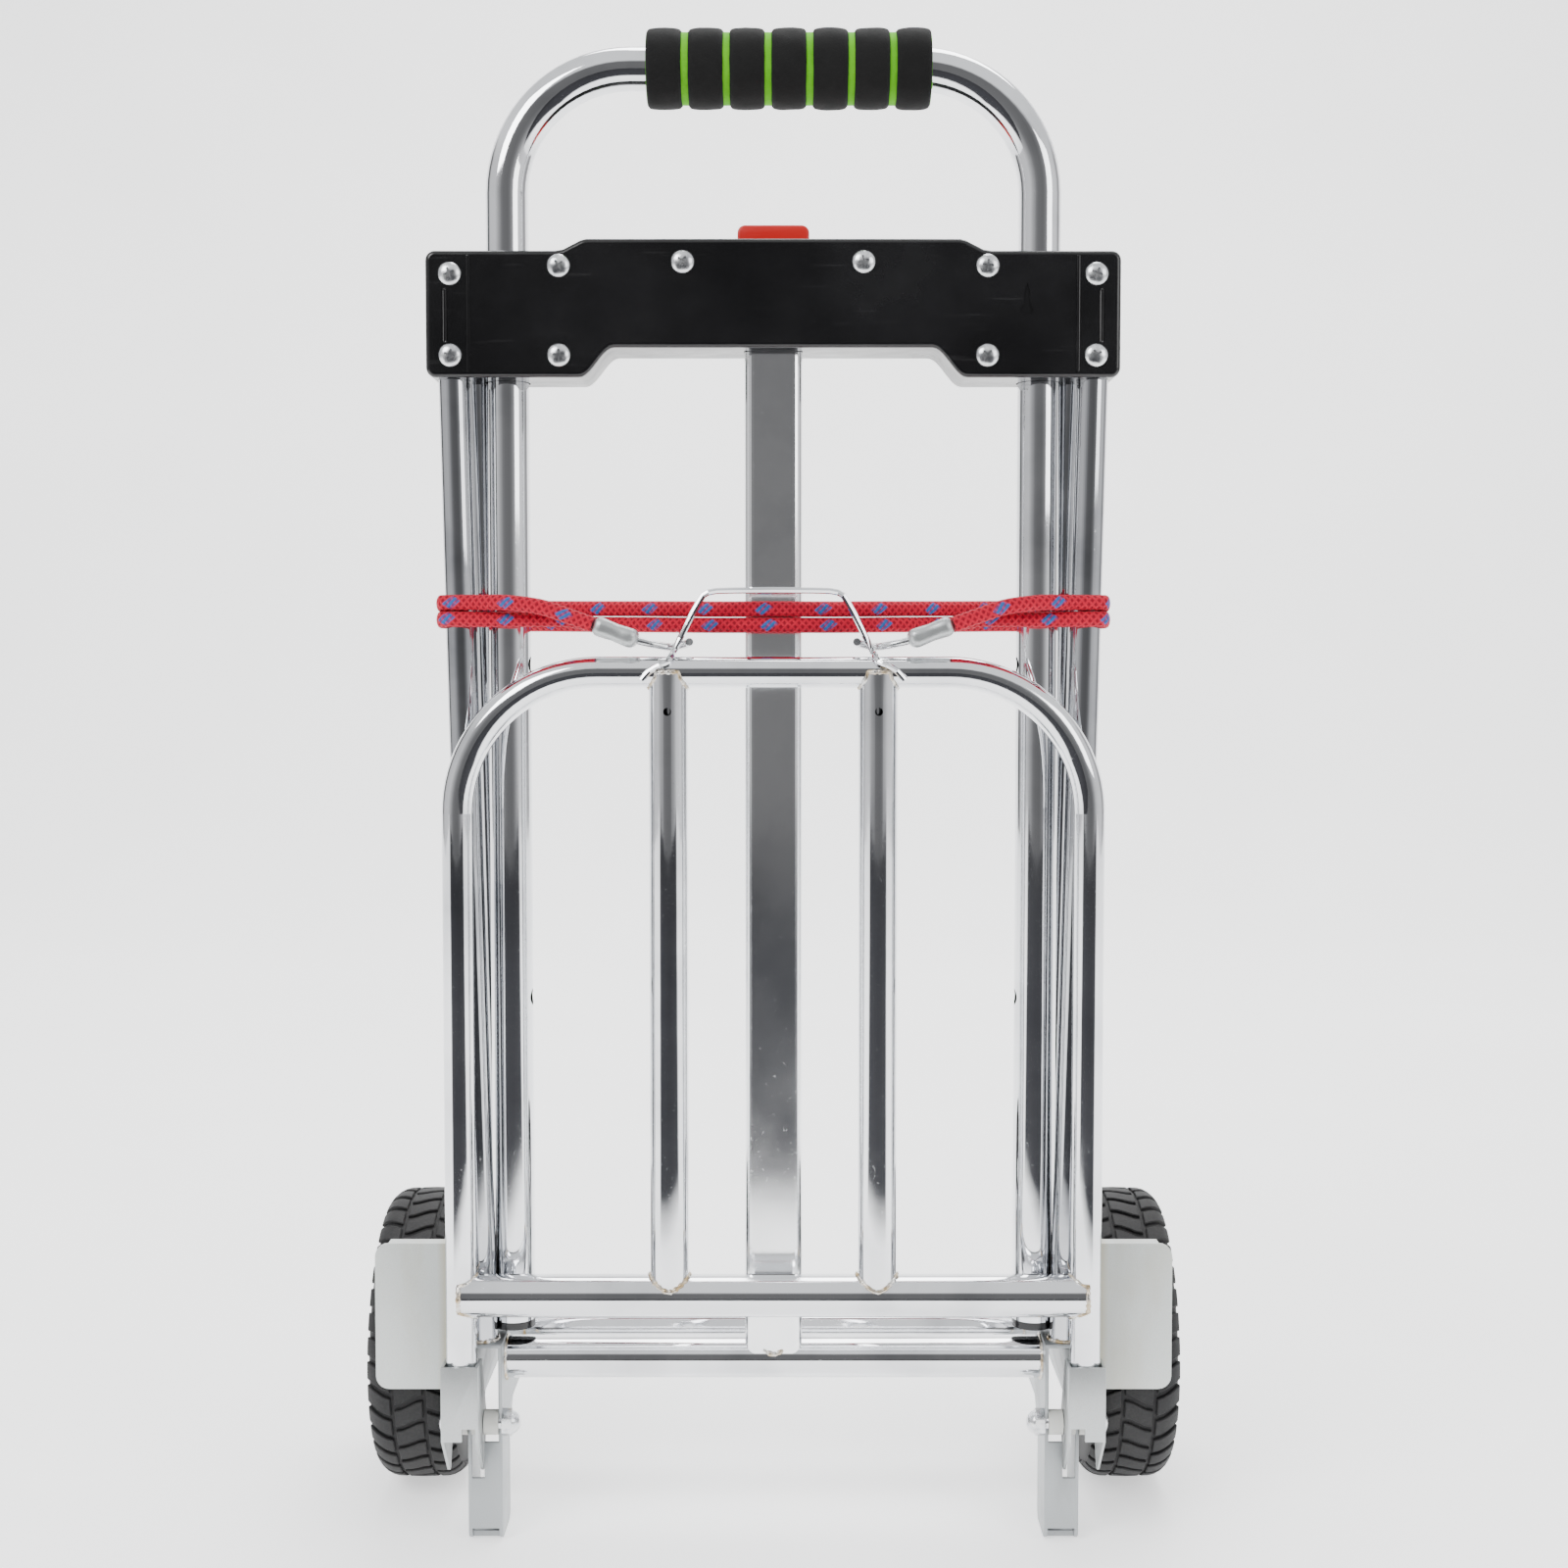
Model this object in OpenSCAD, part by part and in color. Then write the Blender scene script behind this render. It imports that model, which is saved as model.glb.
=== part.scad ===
// Folding luggage cart with a telescopic handle, a fold-up toe plate and two wheels.
// +Z is up, the toe plate is on the -Y side, and the floor is the plane z = 0.
// The origin is on the floor, under the centre of the cart. Millimetres.

/* [Crossbar] */
// Width of the crossbar
crossbar_w = 354; // [300:1:430]
// Depth of the crossbar, front to back
crossbar_d = 40; // [40:1:56]
// Height of the underside of the crossbar's ends above the floor
crossbar_z = 605; // [540:1:700]
// Height of the crossbar's ends
crossbar_end_h = 64; // [58:1:72]
// Rise of the crossbar's middle above its ends
crossbar_rise = 6; // [2:0.5:10]
// Rise of the arch under the crossbar's middle
crossbar_arch = 15; // [8:1:20]
// Wall of the crossbar's two shells
shell_wall = 2.5; // [2:0.1:3.5]

/* [Handle] */
// Outside diameter of the handle tube
handle_tube_d = 22; // [19:0.5:24]
// Height of the handle's top tube above the floor with the handle down, at its centre
handle_h = 766; // [740:1:900]
// Bend radius at the tube's centre line
handle_bend_r = 64; // [45:1:80]
// Distance from the crossbar's end to the handle leg's centre
leg_inset = 39; // [38:0.5:48]
// Height of the legs' lower ends above the floor with the handle down
leg_foot_z = 108; // [108:1:200]
// How far the handle pulls out
handle_travel = 350; // [200:10:400]
// Length of the foam grip
grip_len = 146; // [110:1:150]
// Outside diameter of the foam grip
grip_d = 41; // [34:0.5:46]
// How far the grip sits to the right of the middle
grip_shift = 8; // [0:1:15]
// Grooves round the foam grip
grip_grooves = 6; // [2:1:8]

/* [Frame] */
// Outside diameter of the front uprights
upright_d = 16; // [14:0.5:17]
// Outside diameter of the rear braces
brace_d = 12; // [10:0.5:12.5]
// Wall of all the tubes
tube_wall = 1.2; // [1:0.1:1.6]
// Width of the centre post
post_w = 30; // [22:1:36]
// Depth of the centre post, front to back
post_d = 20; // [16:1:22]
// Outside diameter of the lower cross tube and the axle tube
cross_tube_d = 22; // [18:0.5:24]

/* [Feet and pivots] */
// Inner width across each foot bracket's cheeks
foot_gap = 14; // [13:0.5:18]
// Thickness of the foot brackets' sheet
foot_sheet = 2; // [1.6:0.1:2.5]
// Height of the top of the foot brackets above the floor
foot_h = 104; // [100:1:125]
// Height of the toe plate's pivot above the floor
pivot_z = 62; // [56:1:66]
// Diameter of the pivot bolts
pivot_bolt_d = 8; // [6:0.5:9]

/* [Toe plate] */
// Outside diameter of the toe plate's hoop
toe_tube_d = 16; // [14:0.5:18]
// Height of the hoop's top tube above the floor when folded up, at its centre
toe_h = 455; // [380:1:470]
// Bend radius of the hoop at the tube's centre line
toe_bend_r = 72; // [40:1:90]
// Outside diameter of the two slats
slat_d = 20; // [16:0.5:21]
// Distance between the two slats' centres
slat_spacing = 107; // [80:1:140]
// Height of the toe plate's cross tube above the floor when folded up, at its centre
toe_cross_z = 133; // [125:1:180]
// Diameter of the cord loop's wire
loop_wire_d = 3.2; // [2.5:0.1:4]

/* [Wheels] */
// Diameter of the tyres
wheel_d = 160; // [140:1:170]
// Width of the tyres
tyre_w = 46; // [34:1:52]
// Distance from the toe plate back to the axle
axle_setback = 110; // [100:1:130]
// Diameter of the axle rod
axle_d = 12; // [10:0.5:14]

/* [Release button] */
// Width of the button
button_w = 37; // [28:1:42]
// How far the button stands out of the crossbar
button_h = 10; // [8:0.5:14]
// How far the button pushes in
button_travel = 6; // [4:0.5:7]

/* [Hidden] */

$fn = 48;
// A cut reaches this far past the face that it opens
eps = 0.5;
// Gap between parts that move past each other
running_gap = 0.4;
// Radial clearance of a sliding or turning fit
slide_fit = 0.075;
// Clearance of a tube in the shell that holds it
shell_fit = 0.05;

// Front to back: the box round the whole cart is centred on y = 0
front_reach = toe_tube_d / 2 + loop_wire_d;
toe_y = (front_reach - axle_setback - wheel_d / 2) / 2;
axle_y = toe_y + axle_setback;
axle_z = wheel_d / 2;
// Each depth below is taken from the toe plate's plane or the crossbar's front, back to a centre line
bar_setback = 7;
upright_depth = 12.5;
post_depth = 22;
leg_depth = 24;
brace_depth = 30.2;
brace_foot_depth = 78;
crossbar_front_y = toe_y + bar_setback;
crossbar_split_y = crossbar_front_y + crossbar_d / 2;
crossbar_back_y = crossbar_front_y + crossbar_d;
upright_y = crossbar_front_y + upright_depth;
leg_y = crossbar_front_y + leg_depth;
post_y = crossbar_front_y + post_depth;
lower_tube_y = post_y;
pivot_y = toe_y + toe_tube_d / 2 + 4;

// Side to side, on the right-hand half
bar_half = crossbar_w / 2;
leg_x = bar_half - leg_inset;
leg_r = handle_tube_d / 2;
upright_top_x = bar_half - 11.5;
upright_foot_x = bar_half - 23.5;
brace_top_x = bar_half - 22;
brace_foot_x = bar_half - 26;
foot_x = bar_half - 26;
foot_in = foot_x - foot_gap / 2 - foot_sheet;
foot_out = foot_x + foot_gap / 2 + foot_sheet;
rail_x = foot_out + 1.5;
bracket_sheet = 1.6;
bracket_in = rail_x - toe_tube_d / 2 - bracket_sheet;
bracket_out = rail_x + toe_tube_d / 2 + bracket_sheet;
tyre_in = bracket_out + 1.4;
tyre_out = tyre_in + tyre_w;

// Heights
bar_top_z = crossbar_z + crossbar_end_h;
bar_mid_z = bar_top_z + crossbar_rise;
latch_z = crossbar_z + 29;
upright_top_z = bar_top_z - 6;
brace_top_z = crossbar_z + 20;
post_top_z = latch_z + 10;
lower_tube_z = foot_h - cross_tube_d / 2 - 1.5;
rail_foot_z = pivot_z + 6;

// Crossbar screws: x and height of each screw on the right-hand half
screw_r = 2;
screw_head_r = 6;
screw_len = 34;
outer_screw_x = bar_half - 12.7;
shell_screw_x = bar_half - 68;
middle_screw_x = 46;
low_screw_z = crossbar_z + 11;
shell_boss_r = 4.5;
upright_boss_r = 2.8;
upright_spots = [[outer_screw_x, bar_top_z - 12], [outer_screw_x, low_screw_z]];
shell_spots = [[shell_screw_x, bar_top_z - 8], [shell_screw_x, low_screw_z], [middle_screw_x, bar_top_z - 6]];
screw_spots = concat(upright_spots, shell_spots);

// The rear brace leans back from the crossbar to the top of the foot bracket
brace_top = [brace_top_x, crossbar_front_y + brace_depth, brace_top_z];
brace_foot = [brace_foot_x, toe_y + brace_foot_depth, foot_h];
upright_top = [upright_top_x, upright_y, upright_top_z];
upright_foot = [upright_foot_x, upright_y, foot_h];

// Latch
latch_bar_h = 12;
latch_bar_t = 8;
latch_pin_r = 4;
latch_ratio = 0.7;
latch_tab_t = 3;
latch_tab_h = 6;
rib_t = 3;
rib_h = 5;
rib_in_x = bar_half - 97;
rib_out_x = bar_half - 57;
latch_spring_r = 2.4;
spring_seat = 0.3;
latch_spring_x = rib_in_x + rib_t / 2 + spring_seat;
latch_spring_len = 31;
latch_pin_len = 8;
latch_in = 22;
prong_out = 36;
prong_w = 4;
button_flange_t = 4;
button_d = 16;
button_top_z = bar_mid_z + button_h;
button_flange_z = bar_mid_z - shell_wall - running_gap - button_flange_t;
prong_foot_z = latch_z - latch_bar_h / 2 + 1;
// The wedge is as tall as the button's travel and the part of the bolt that it stands in
wedge_h = 2 * button_travel;
wedge_x = prong_out - prong_w - latch_ratio * wedge_h;
// The bolt's window ends past the prong, so the bolt can draw back by its whole throw
window_out_x = prong_out + button_travel;

// Bungee cord: two strands side by side, from one hook round the frame to the other
cord_d = 8;
cord_left_upper = [[-91.5, -95.6, 479.1], [-104, -95.5, 483.5], [-118, -95, 488], [-135, -91, 490.2],
                   [-150, -86, 490.5], [-163, -83.5, 490.5], [-171.5, -80, 490.5], [-174.8, -72, 490],
                   [-173, -60, 490], [-166.5, -44, 489.5], [-162, -33.8, 489.5], [-154, -30, 489.5],
                   [-142, -31.5, 489], [-124, -39, 489], [-95, -51, 488.5], [-62, -64, 488],
                   [-30, -74, 487.5]];
cord_left_lower = [[-91.5, -87.3, 479.1], [-104, -86.5, 481.8], [-118, -85.5, 482],
                   [-135, -84.9, 481.9], [-150, -84.5, 482], [-163, -83.5, 482.2],
                   [-171.5, -80, 482.2], [-174.8, -72, 481.7], [-173, -60, 481.7],
                   [-166.5, -44, 481.2], [-162, -33.8, 481.2], [-154, -30, 481.2],
                   [-142, -31.5, 480.7], [-124, -39, 480.7], [-95, -51, 480.2], [-62, -64, 479.7],
                   [-30, -74, 479.2]];
cord_middle_upper = [[0, -77.5, 487.5]];
cord_middle_lower = [[0, -77.5, 479.2]];
sleeve_at = [-80, -91.5, 475];
sleeve_tilt = 20;
sleeve_len = 24;
sleeve_r = 5;
sleeve_half = 3.5;
hook_r = 2;
hook_route = [[-68.7, -91.5, 470.9], [-62, -90.7, 469.3], [-56, -87.5, 468.2], [-52, -84.8, 467.8],
              [-47, -84.3, 468.8], [-43.2, -86.4, 469.8], [-42.6, -90.4, 470.4]];

// ---------- shared shapes ----------

function flip(route) = [for (i = [len(route) - 1:-1:0]) [-route[i][0], route[i][1], route[i][2]]];
function arc(cx, cy, r, a0, a1, steps) =
    [for (i = [0:steps]) let (a = a0 + (a1 - a0) * i / steps) [cx + r * cos(a), cy + r * sin(a)]];
function unit(v) = v / norm(v);
function along(p, q, z) = p + (q - p) * (z - p[2]) / (q[2] - p[2]);

// Smooth curve through the points of a route
function curve_at(p, i, t) =
    let (n = len(p) - 1,
         a = p[max(i - 1, 0)],
         b = p[i],
         c = p[min(i + 1, n)],
         d = p[min(i + 2, n)])
    0.5 * (2 * b + (c - a) * t + (2 * a - 5 * b + 4 * c - d) * t * t
           + (3 * b - a - 3 * c + d) * t * t * t);
function curve(p, steps) =
    concat([for (i = [0:len(p) - 2]) for (k = [0:steps - 1]) curve_at(p, i, k / steps)],
           [p[len(p) - 1]]);
function heading(p, i) = unit(p[min(i + 1, len(p) - 1)] - p[max(i - 1, 0)]);
function ring(p, i, r, sides) =
    let (t = heading(p, i),
         u = unit(cross(t, [0.05, 0.02, 1])),
         v = cross(t, u))
    [for (k = [0:sides - 1]) p[i] + r * (cos(360 * k / sides) * u + sin(360 * k / sides) * v)];

// Closed tube swept along a list of points
module sweep(p, r, sides) {
    rings = len(p);
    points = [for (i = [0:rings - 1]) each ring(p, i, r, sides)];
    wall = [for (i = [0:rings - 2]) for (k = [0:sides - 1])
            let (a = i * sides + k, b = i * sides + (k + 1) % sides)
            [a, b, b + sides, a + sides]];
    near_end = [for (k = [sides - 1:-1:0]) k];
    far_end = [for (k = [0:sides - 1]) (rings - 1) * sides + k];
    polyhedron(points, concat(wall, [near_end], [far_end]), convexity = 8);
}

// Solid rod from one point to another
module rod(p, q, r) {
    v = q - p;
    translate(p) rotate([0, acos(v[2] / norm(v)), atan2(v[1], v[0])]) cylinder(h = norm(v), r = r);
}

// Rod along X between two x values
module x_rod(x0, x1, y, z, r) {
    translate([x0, y, z]) rotate([0, 90, 0]) cylinder(h = x1 - x0, r = r);
}

// Tube along X between two x values
module x_tube(x0, x1, y, z, r, bore) {
    difference() {
        x_rod(x0, x1, y, z, r);
        x_rod(x0 - eps, x1 + eps, y, z, bore);
    }
}

// Outline in Y and Z, made into a plate between two x values
module x_plate(x0, x1) {
    translate([x0, 0, 0]) rotate([90, 0, 90]) linear_extrude(x1 - x0) children();
}

// Outline in X and Z, made into a block between two y values
module y_block(y0, y1) {
    translate([0, y1, 0]) rotate([90, 0, 0]) linear_extrude(y1 - y0) children();
}

module left() {
    mirror([1, 0, 0]) children();
}

// Dome on a short cylinder, standing on z = 0
module dome(r, rim, h) {
    big_r = (r * r + h * h) / (2 * h);
    start = acos(r / big_r);
    rotate_extrude() polygon(concat([[0, 0], [r, 0]],
        [for (i = [0:8]) let (a = start + (90 - start) * i / 8)
         [big_r * cos(a), rim + h - big_r + big_r * sin(a)]]));
}

// Compression spring along +Z from the origin
module coil_spring(r, wire_r, turns, h) {
    steps = 12;
    path = [for (i = [0:turns * steps])
            [r * cos(360 * i / steps), r * sin(360 * i / steps),
             wire_r + (h - 2 * wire_r) * i / (turns * steps)]];
    sweep(path, wire_r, 6);
}

// ---------- handle ----------

plug_rim = 4;
plug_depth = 12;

// Centre line of the handle as a solid of radius r, its legs ending at foot_z
module handle_path(r, foot_z) {
    bend_z = handle_h - handle_bend_r;
    for (s = [-1, 1]) {
        translate([s * leg_x, leg_y, foot_z]) cylinder(h = bend_z - foot_z, r = r);
        translate([s * (leg_x - handle_bend_r), leg_y, bend_z]) rotate([90, 0, 0])
            rotate([0, 0, s > 0 ? 0 : 90]) rotate_extrude(angle = 90)
                translate([handle_bend_r, 0]) circle(r = r);
    }
    x_rod(handle_bend_r - leg_x, leg_x - handle_bend_r, leg_y, handle_h, r);
}

// Each leg has a lock hole on its inner side, level with the latch when the handle is out,
// and one for the handle half out.
module handle_tube() {
    color("silver") difference() {
        handle_path(leg_r, leg_foot_z + plug_rim);
        handle_path(leg_r - tube_wall, leg_foot_z + plug_rim - eps);
        for (s = [-1, 1], out = [handle_travel, handle_travel / 2])
            x_rod(s > 0 ? leg_x - leg_r - eps : -leg_x, s > 0 ? leg_x : leg_r - leg_x + eps,
                  leg_y, latch_z - out, latch_pin_r + 0.5);
    }
}

module leg_plug(s) {
    color("black") translate([s * leg_x, leg_y, leg_foot_z]) {
        cylinder(h = plug_rim, r = leg_r);
        translate([0, 0, plug_rim - eps]) cylinder(h = plug_depth + eps, r = leg_r - tube_wall);
    }
}

groove_w = 3.5;
pad_w = (grip_len - grip_grooves * groove_w) / (grip_grooves + 1);
grip_core_r = grip_d / 2 - 2.5;

// Black foam rings, one between each pair of grooves
module foam_grip() {
    color("black") for (i = [0:grip_grooves]) {
        x0 = grip_shift - grip_len / 2 + i * (pad_w + groove_w);
        x_tube(x0, x0 + pad_w, leg_y, handle_h, grip_d / 2, grip_core_r);
    }
}

// Green foam sleeve under the rings, seen in the grooves, bored for the handle's straight and its bends
module grip_core() {
    color("limegreen") difference() {
        x_rod(grip_shift - grip_len / 2, grip_shift + grip_len / 2, leg_y, handle_h, grip_core_r);
        handle_path(leg_r + shell_fit, leg_foot_z);
    }
}

// ---------- crossbar ----------

// Outline of the right-hand half, the inner line of the wall when inset by it
function bar_half_outline(inset) =
    let (r = 5 - min(inset, 4),
         x = bar_half - inset,
         top = bar_top_z - inset,
         foot = crossbar_z + inset,
         s_out = bar_half - 78 + 0.7 * inset,
         s_in = bar_half - 96 + 0.7 * inset)
    concat([[0, bar_mid_z - inset], [prong_out + prong_w, bar_mid_z - inset]],
           [[bar_half - 80, bar_mid_z - 2 - inset], [bar_half - 68, top]],
           arc(x - r, top - r, r, 90, 0, 4),
           arc(x - r, foot + r, r, 0, -90, 4),
           [for (t = [0:0.125:1])
            [s_out + (s_in - s_out) * t, foot + crossbar_arch * (1 - cos(180 * t)) / 2]],
           [[0, foot + crossbar_arch]]);

module bar_outline(inset) {
    polygon(bar_half_outline(inset));
    mirror([1, 0]) polygon(bar_half_outline(inset));
}

module post_outline(grow) {
    r = 5;
    w = post_w / 2 + grow - r;
    d = post_d / 2 + grow - r;
    polygon(concat(arc(w, d, r, 0, 90, 6), arc(-w, d, r, 90, 180, 6),
                   arc(-w, -d, r, 180, 270, 6), arc(w, -d, r, 270, 360, 6)));
}

// Openings for everything that goes into the crossbar
module bar_passages() {
    for (s = [0, 1]) mirror([s, 0, 0]) {
        translate([leg_x, leg_y, crossbar_z - 5]) cylinder(h = crossbar_end_h + 10, r = leg_r + 0.6);
        rod(along(upright_foot, upright_top, crossbar_z - 5), upright_top, upright_d / 2 + shell_fit);
        rod(along(brace_foot, brace_top, crossbar_z - 5), brace_top, brace_d / 2 + shell_fit);
    }
    translate([0, post_y, crossbar_z]) linear_extrude(post_top_z - crossbar_z) post_outline(shell_fit);
    translate([-button_w / 2 - running_gap, leg_y - button_d / 2 - running_gap, bar_mid_z - 10])
        cube([button_w + 2 * running_gap, button_d + 2 * running_gap, 20]);
}

module screw_bosses(y0, y1, spots, r) {
    for (s = [-1, 1], spot = spots) translate([s * spot[0], y1, spot[1]]) rotate([90, 0, 0])
        cylinder(h = y1 - y0, r = r);
}

module screw_holes(r) {
    for (s = [-1, 1], spot = screw_spots)
        translate([s * spot[0], crossbar_front_y + screw_len, spot[1]]) rotate([90, 0, 0])
            cylinder(h = screw_len + eps, r = r);
}

module crossbar_front_shell() {
    color("#202022") difference() {
        union() {
            difference() {
                y_block(crossbar_front_y, crossbar_split_y) bar_outline(0);
                y_block(crossbar_front_y + shell_wall, crossbar_split_y + eps) bar_outline(shell_wall);
            }
            screw_bosses(crossbar_front_y + shell_wall - eps, crossbar_split_y, shell_spots, shell_boss_r);
        }
        screw_holes(screw_r + 0.2);
        bar_passages();
    }
}

// Ribs stand above and below each latch bolt and carry it
module latch_ribs() {
    rib_y = leg_y - latch_bar_t / 2 - 2;
    for (s = [-1, 1], x = [rib_in_x, rib_out_x], up = [-1, 1]) {
        z = latch_z + up * (latch_bar_h / 2 + running_gap);
        translate([s * x - rib_t / 2, rib_y, up > 0 ? z : z - rib_h])
            cube([rib_t, crossbar_back_y - rib_y - eps, rib_h]);
    }
}

module crossbar_rear_shell() {
    color("#202022") difference() {
        union() {
            difference() {
                y_block(crossbar_split_y, crossbar_back_y) bar_outline(0);
                y_block(crossbar_split_y - eps, crossbar_back_y - shell_wall) bar_outline(shell_wall);
            }
            screw_bosses(crossbar_split_y, crossbar_back_y - shell_wall + eps, shell_spots, shell_boss_r);
            screw_bosses(upright_y + upright_d / 2 + 1, crossbar_back_y - shell_wall + eps,
                         upright_spots, upright_boss_r);
            latch_ribs();
        }
        screw_holes(screw_r);
        bar_passages();
    }
}

// Pan-head screws with a cross recess
module crossbar_screws() {
    color("silver") for (s = [-1, 1], spot = screw_spots)
        translate([s * spot[0], crossbar_front_y, spot[1]]) rotate([90, 0, 0]) difference() {
            union() {
                translate([0, 0, -screw_len + 1]) cylinder(h = screw_len - 1, r = screw_r);
                dome(screw_head_r, 0.6, 2.8);
            }
            for (a = [0, 90]) rotate([0, 0, a]) translate([-2.6, -0.5, 1.8]) cube([5.2, 1, 3]);
        }
}

// Nylon sleeve that the handle leg slides in, with a window for the latch pin
module leg_guide(s) {
    z0 = crossbar_z + shell_wall;
    h = crossbar_end_h - 2 * shell_wall;
    color("white") difference() {
        translate([s * leg_x, leg_y, z0]) cylinder(h = h, r = leg_r + 0.8);
        translate([s * leg_x, leg_y, z0 - eps]) cylinder(h = h + 2 * eps, r = leg_r + slide_fit);
        x_rod(s > 0 ? 0 : -leg_x, s > 0 ? leg_x : 0, leg_y, latch_z, latch_pin_r + 0.5);
    }
}

// Red button on a flange, with a wedge prong over each latch bolt
module release_button() {
    r = 4;
    color("red") {
        y_block(leg_y - button_d / 2, leg_y + button_d / 2)
            polygon(concat([[-button_w / 2, button_flange_z], [button_w / 2, button_flange_z]],
                           arc(button_w / 2 - r, button_top_z - r, r, 0, 90, 6),
                           arc(-button_w / 2 + r, button_top_z - r, r, 90, 180, 6)));
        translate([-prong_out, leg_y - 5, button_flange_z]) cube([2 * prong_out, 10, button_flange_t]);
        for (s = [0, 1]) mirror([s, 0, 0]) y_block(leg_y - 2, leg_y + 2)
            polygon([[prong_out, button_flange_z + eps], [prong_out, prong_foot_z],
                     [prong_out - prong_w, prong_foot_z],
                     [wedge_x, prong_foot_z + wedge_h],
                     [wedge_x, button_flange_z + eps]]);
    }
}

module button_spring() {
    color("gray") translate([0, leg_y, post_top_z + 0.2])
        coil_spring(5, 0.6, 4, button_flange_z - post_top_z - 0.4);
}

// Sliding bolt: a bar with a slanted window for the button's prong, a tab for its spring and a round pin
module latch_bolt(s) {
    tip = leg_x - leg_r - 0.3;
    h = latch_bar_h / 2;
    slope = latch_ratio * latch_bar_h;
    edge = prong_out - prong_w - running_gap * 1.3 + latch_ratio;
    color("dimgray") mirror([s > 0 ? 0 : 1, 0, 0]) {
        difference() {
            union() {
                translate([latch_in, leg_y - latch_bar_t / 2, latch_z - h])
                    cube([tip - latch_pin_len - latch_in, latch_bar_t, latch_bar_h]);
                translate([latch_spring_x + latch_spring_len + spring_seat,
                           leg_y - latch_tab_t, latch_z + h - eps])
                    cube([latch_tab_t, 2 * latch_tab_t, latch_tab_h + eps]);
            }
            y_block(leg_y - 2.5, leg_y + 2.5)
                polygon([[edge, latch_z - h - eps], [edge - slope - latch_ratio, latch_z + h + eps],
                         [window_out_x, latch_z + h + eps], [window_out_x, latch_z - h - eps]]);
        }
        x_rod(tip - latch_pin_len - eps, tip, leg_y, latch_z, latch_pin_r);
    }
}

// Spring above the bolt, between the inner rib and the bolt's tab
module latch_spring(s) {
    color("gray") mirror([s > 0 ? 0 : 1, 0, 0])
        translate([latch_spring_x, leg_y, latch_z + (latch_bar_h + latch_tab_h) / 2 + spring_seat])
            rotate([0, 90, 0]) coil_spring(latch_spring_r, 0.4, 8, latch_spring_len);
}

// ---------- frame ----------

module tube(p, q, d) {
    over = unit(q - p) * eps;
    difference() {
        rod(p, q, d / 2);
        rod(p - over, q + over, d / 2 - tube_wall);
    }
}

// Front upright, butted on the foot bracket and bolted through in the crossbar
module upright() {
    color("silver") difference() {
        tube(along(upright_top, upright_foot, foot_h - 2), upright_top, upright_d);
        translate([foot_x - 30, upright_y - 20, foot_h - 20]) cube([60, 40, 20]);
        screw_holes(screw_r + 0.2);
    }
}

// Rear brace, its lower end welded on the top of the foot bracket
module rear_brace() {
    color("silver") tube(along(brace_top, brace_foot, foot_h + 0.5), brace_top, brace_d);
}

// Rectangular post, coped on the lower cross tube
module center_post() {
    color("silver") difference() {
        translate([0, post_y, lower_tube_z]) linear_extrude(post_top_z - lower_tube_z) post_outline(0);
        translate([0, post_y, lower_tube_z - eps])
            linear_extrude(post_top_z - lower_tube_z + 2 * eps) post_outline(-tube_wall);
        x_rod(-post_w, post_w, lower_tube_y, lower_tube_z, cross_tube_d / 2);
    }
}

module lower_cross_tube() {
    color("silver") x_tube(-foot_in, foot_in, lower_tube_y, lower_tube_z,
                           cross_tube_d / 2, cross_tube_d / 2 - tube_wall);
}

module axle_tube() {
    color("silver") x_tube(-foot_in, foot_in, axle_y, axle_z,
                           cross_tube_d / 2, axle_d / 2 + 0.2);
}

module axle_rod() {
    color("gray") x_rod(-tyre_out - 4, tyre_out + 4, axle_y, axle_z, axle_d / 2);
}

foot_front_y = pivot_y - 3;
foot_leg_d = 30;
foot_leg_z = 6;
foot_axle_r = 18;
web_low_h = pivot_z - 35;
web_inner_h = pivot_z - 16;
sole_t = 3;

// Side view of a foot bracket: a leg at the front and an arm back to the axle
module foot_profile() {
    arm_z = axle_z - foot_axle_r;
    polygon(concat([[foot_front_y, foot_leg_z], [foot_front_y, foot_h]],
                   [[axle_y - 6, foot_h]],
                   arc(axle_y, axle_z, foot_axle_r, 60, -90, 8),
                   [[foot_front_y + foot_leg_d + 14, arm_z]],
                   [[foot_front_y + foot_leg_d, arm_z - 14]],
                   arc(foot_front_y + foot_leg_d - 5, 5, 5, 0, -90, 4),
                   arc(foot_front_y + 5, 5, 5, -90, -180, 4)));
}

// Folded bracket: two cheeks, a top web, a front web on the leg and a sole
module foot_bracket() {
    color("#b4b8b8") difference() {
        union() {
            x_plate(foot_in, foot_in + foot_sheet) foot_profile();
            x_plate(foot_out - foot_sheet, foot_out) foot_profile();
            translate([foot_in, foot_front_y, foot_h - foot_sheet])
                cube([foot_out - foot_in, axle_y - 6 - foot_front_y, foot_sheet]);
            translate([foot_in, foot_front_y, foot_leg_z])
                cube([foot_out - foot_in, foot_sheet, web_low_h]);
            translate([foot_in, foot_front_y, foot_leg_z])
                cube([bracket_in - running_gap - foot_in, foot_sheet, web_inner_h]);
            translate([foot_in, foot_front_y + 5, 0])
                cube([foot_out - foot_in, foot_leg_d - 10, sole_t]);
        }
        x_rod(foot_in - eps, foot_out + eps, pivot_y, pivot_z, pivot_bolt_d / 2);
        x_rod(foot_in - eps, foot_out + eps, axle_y, axle_z, axle_d / 2);
    }
}

fender_y = toe_y + 22;
fender_t = 1.5;
fender_z = 76;
fender_h = 78;
fender_short = 8;
fender_lip = 9;
fender_out = tyre_out - fender_short;

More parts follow.
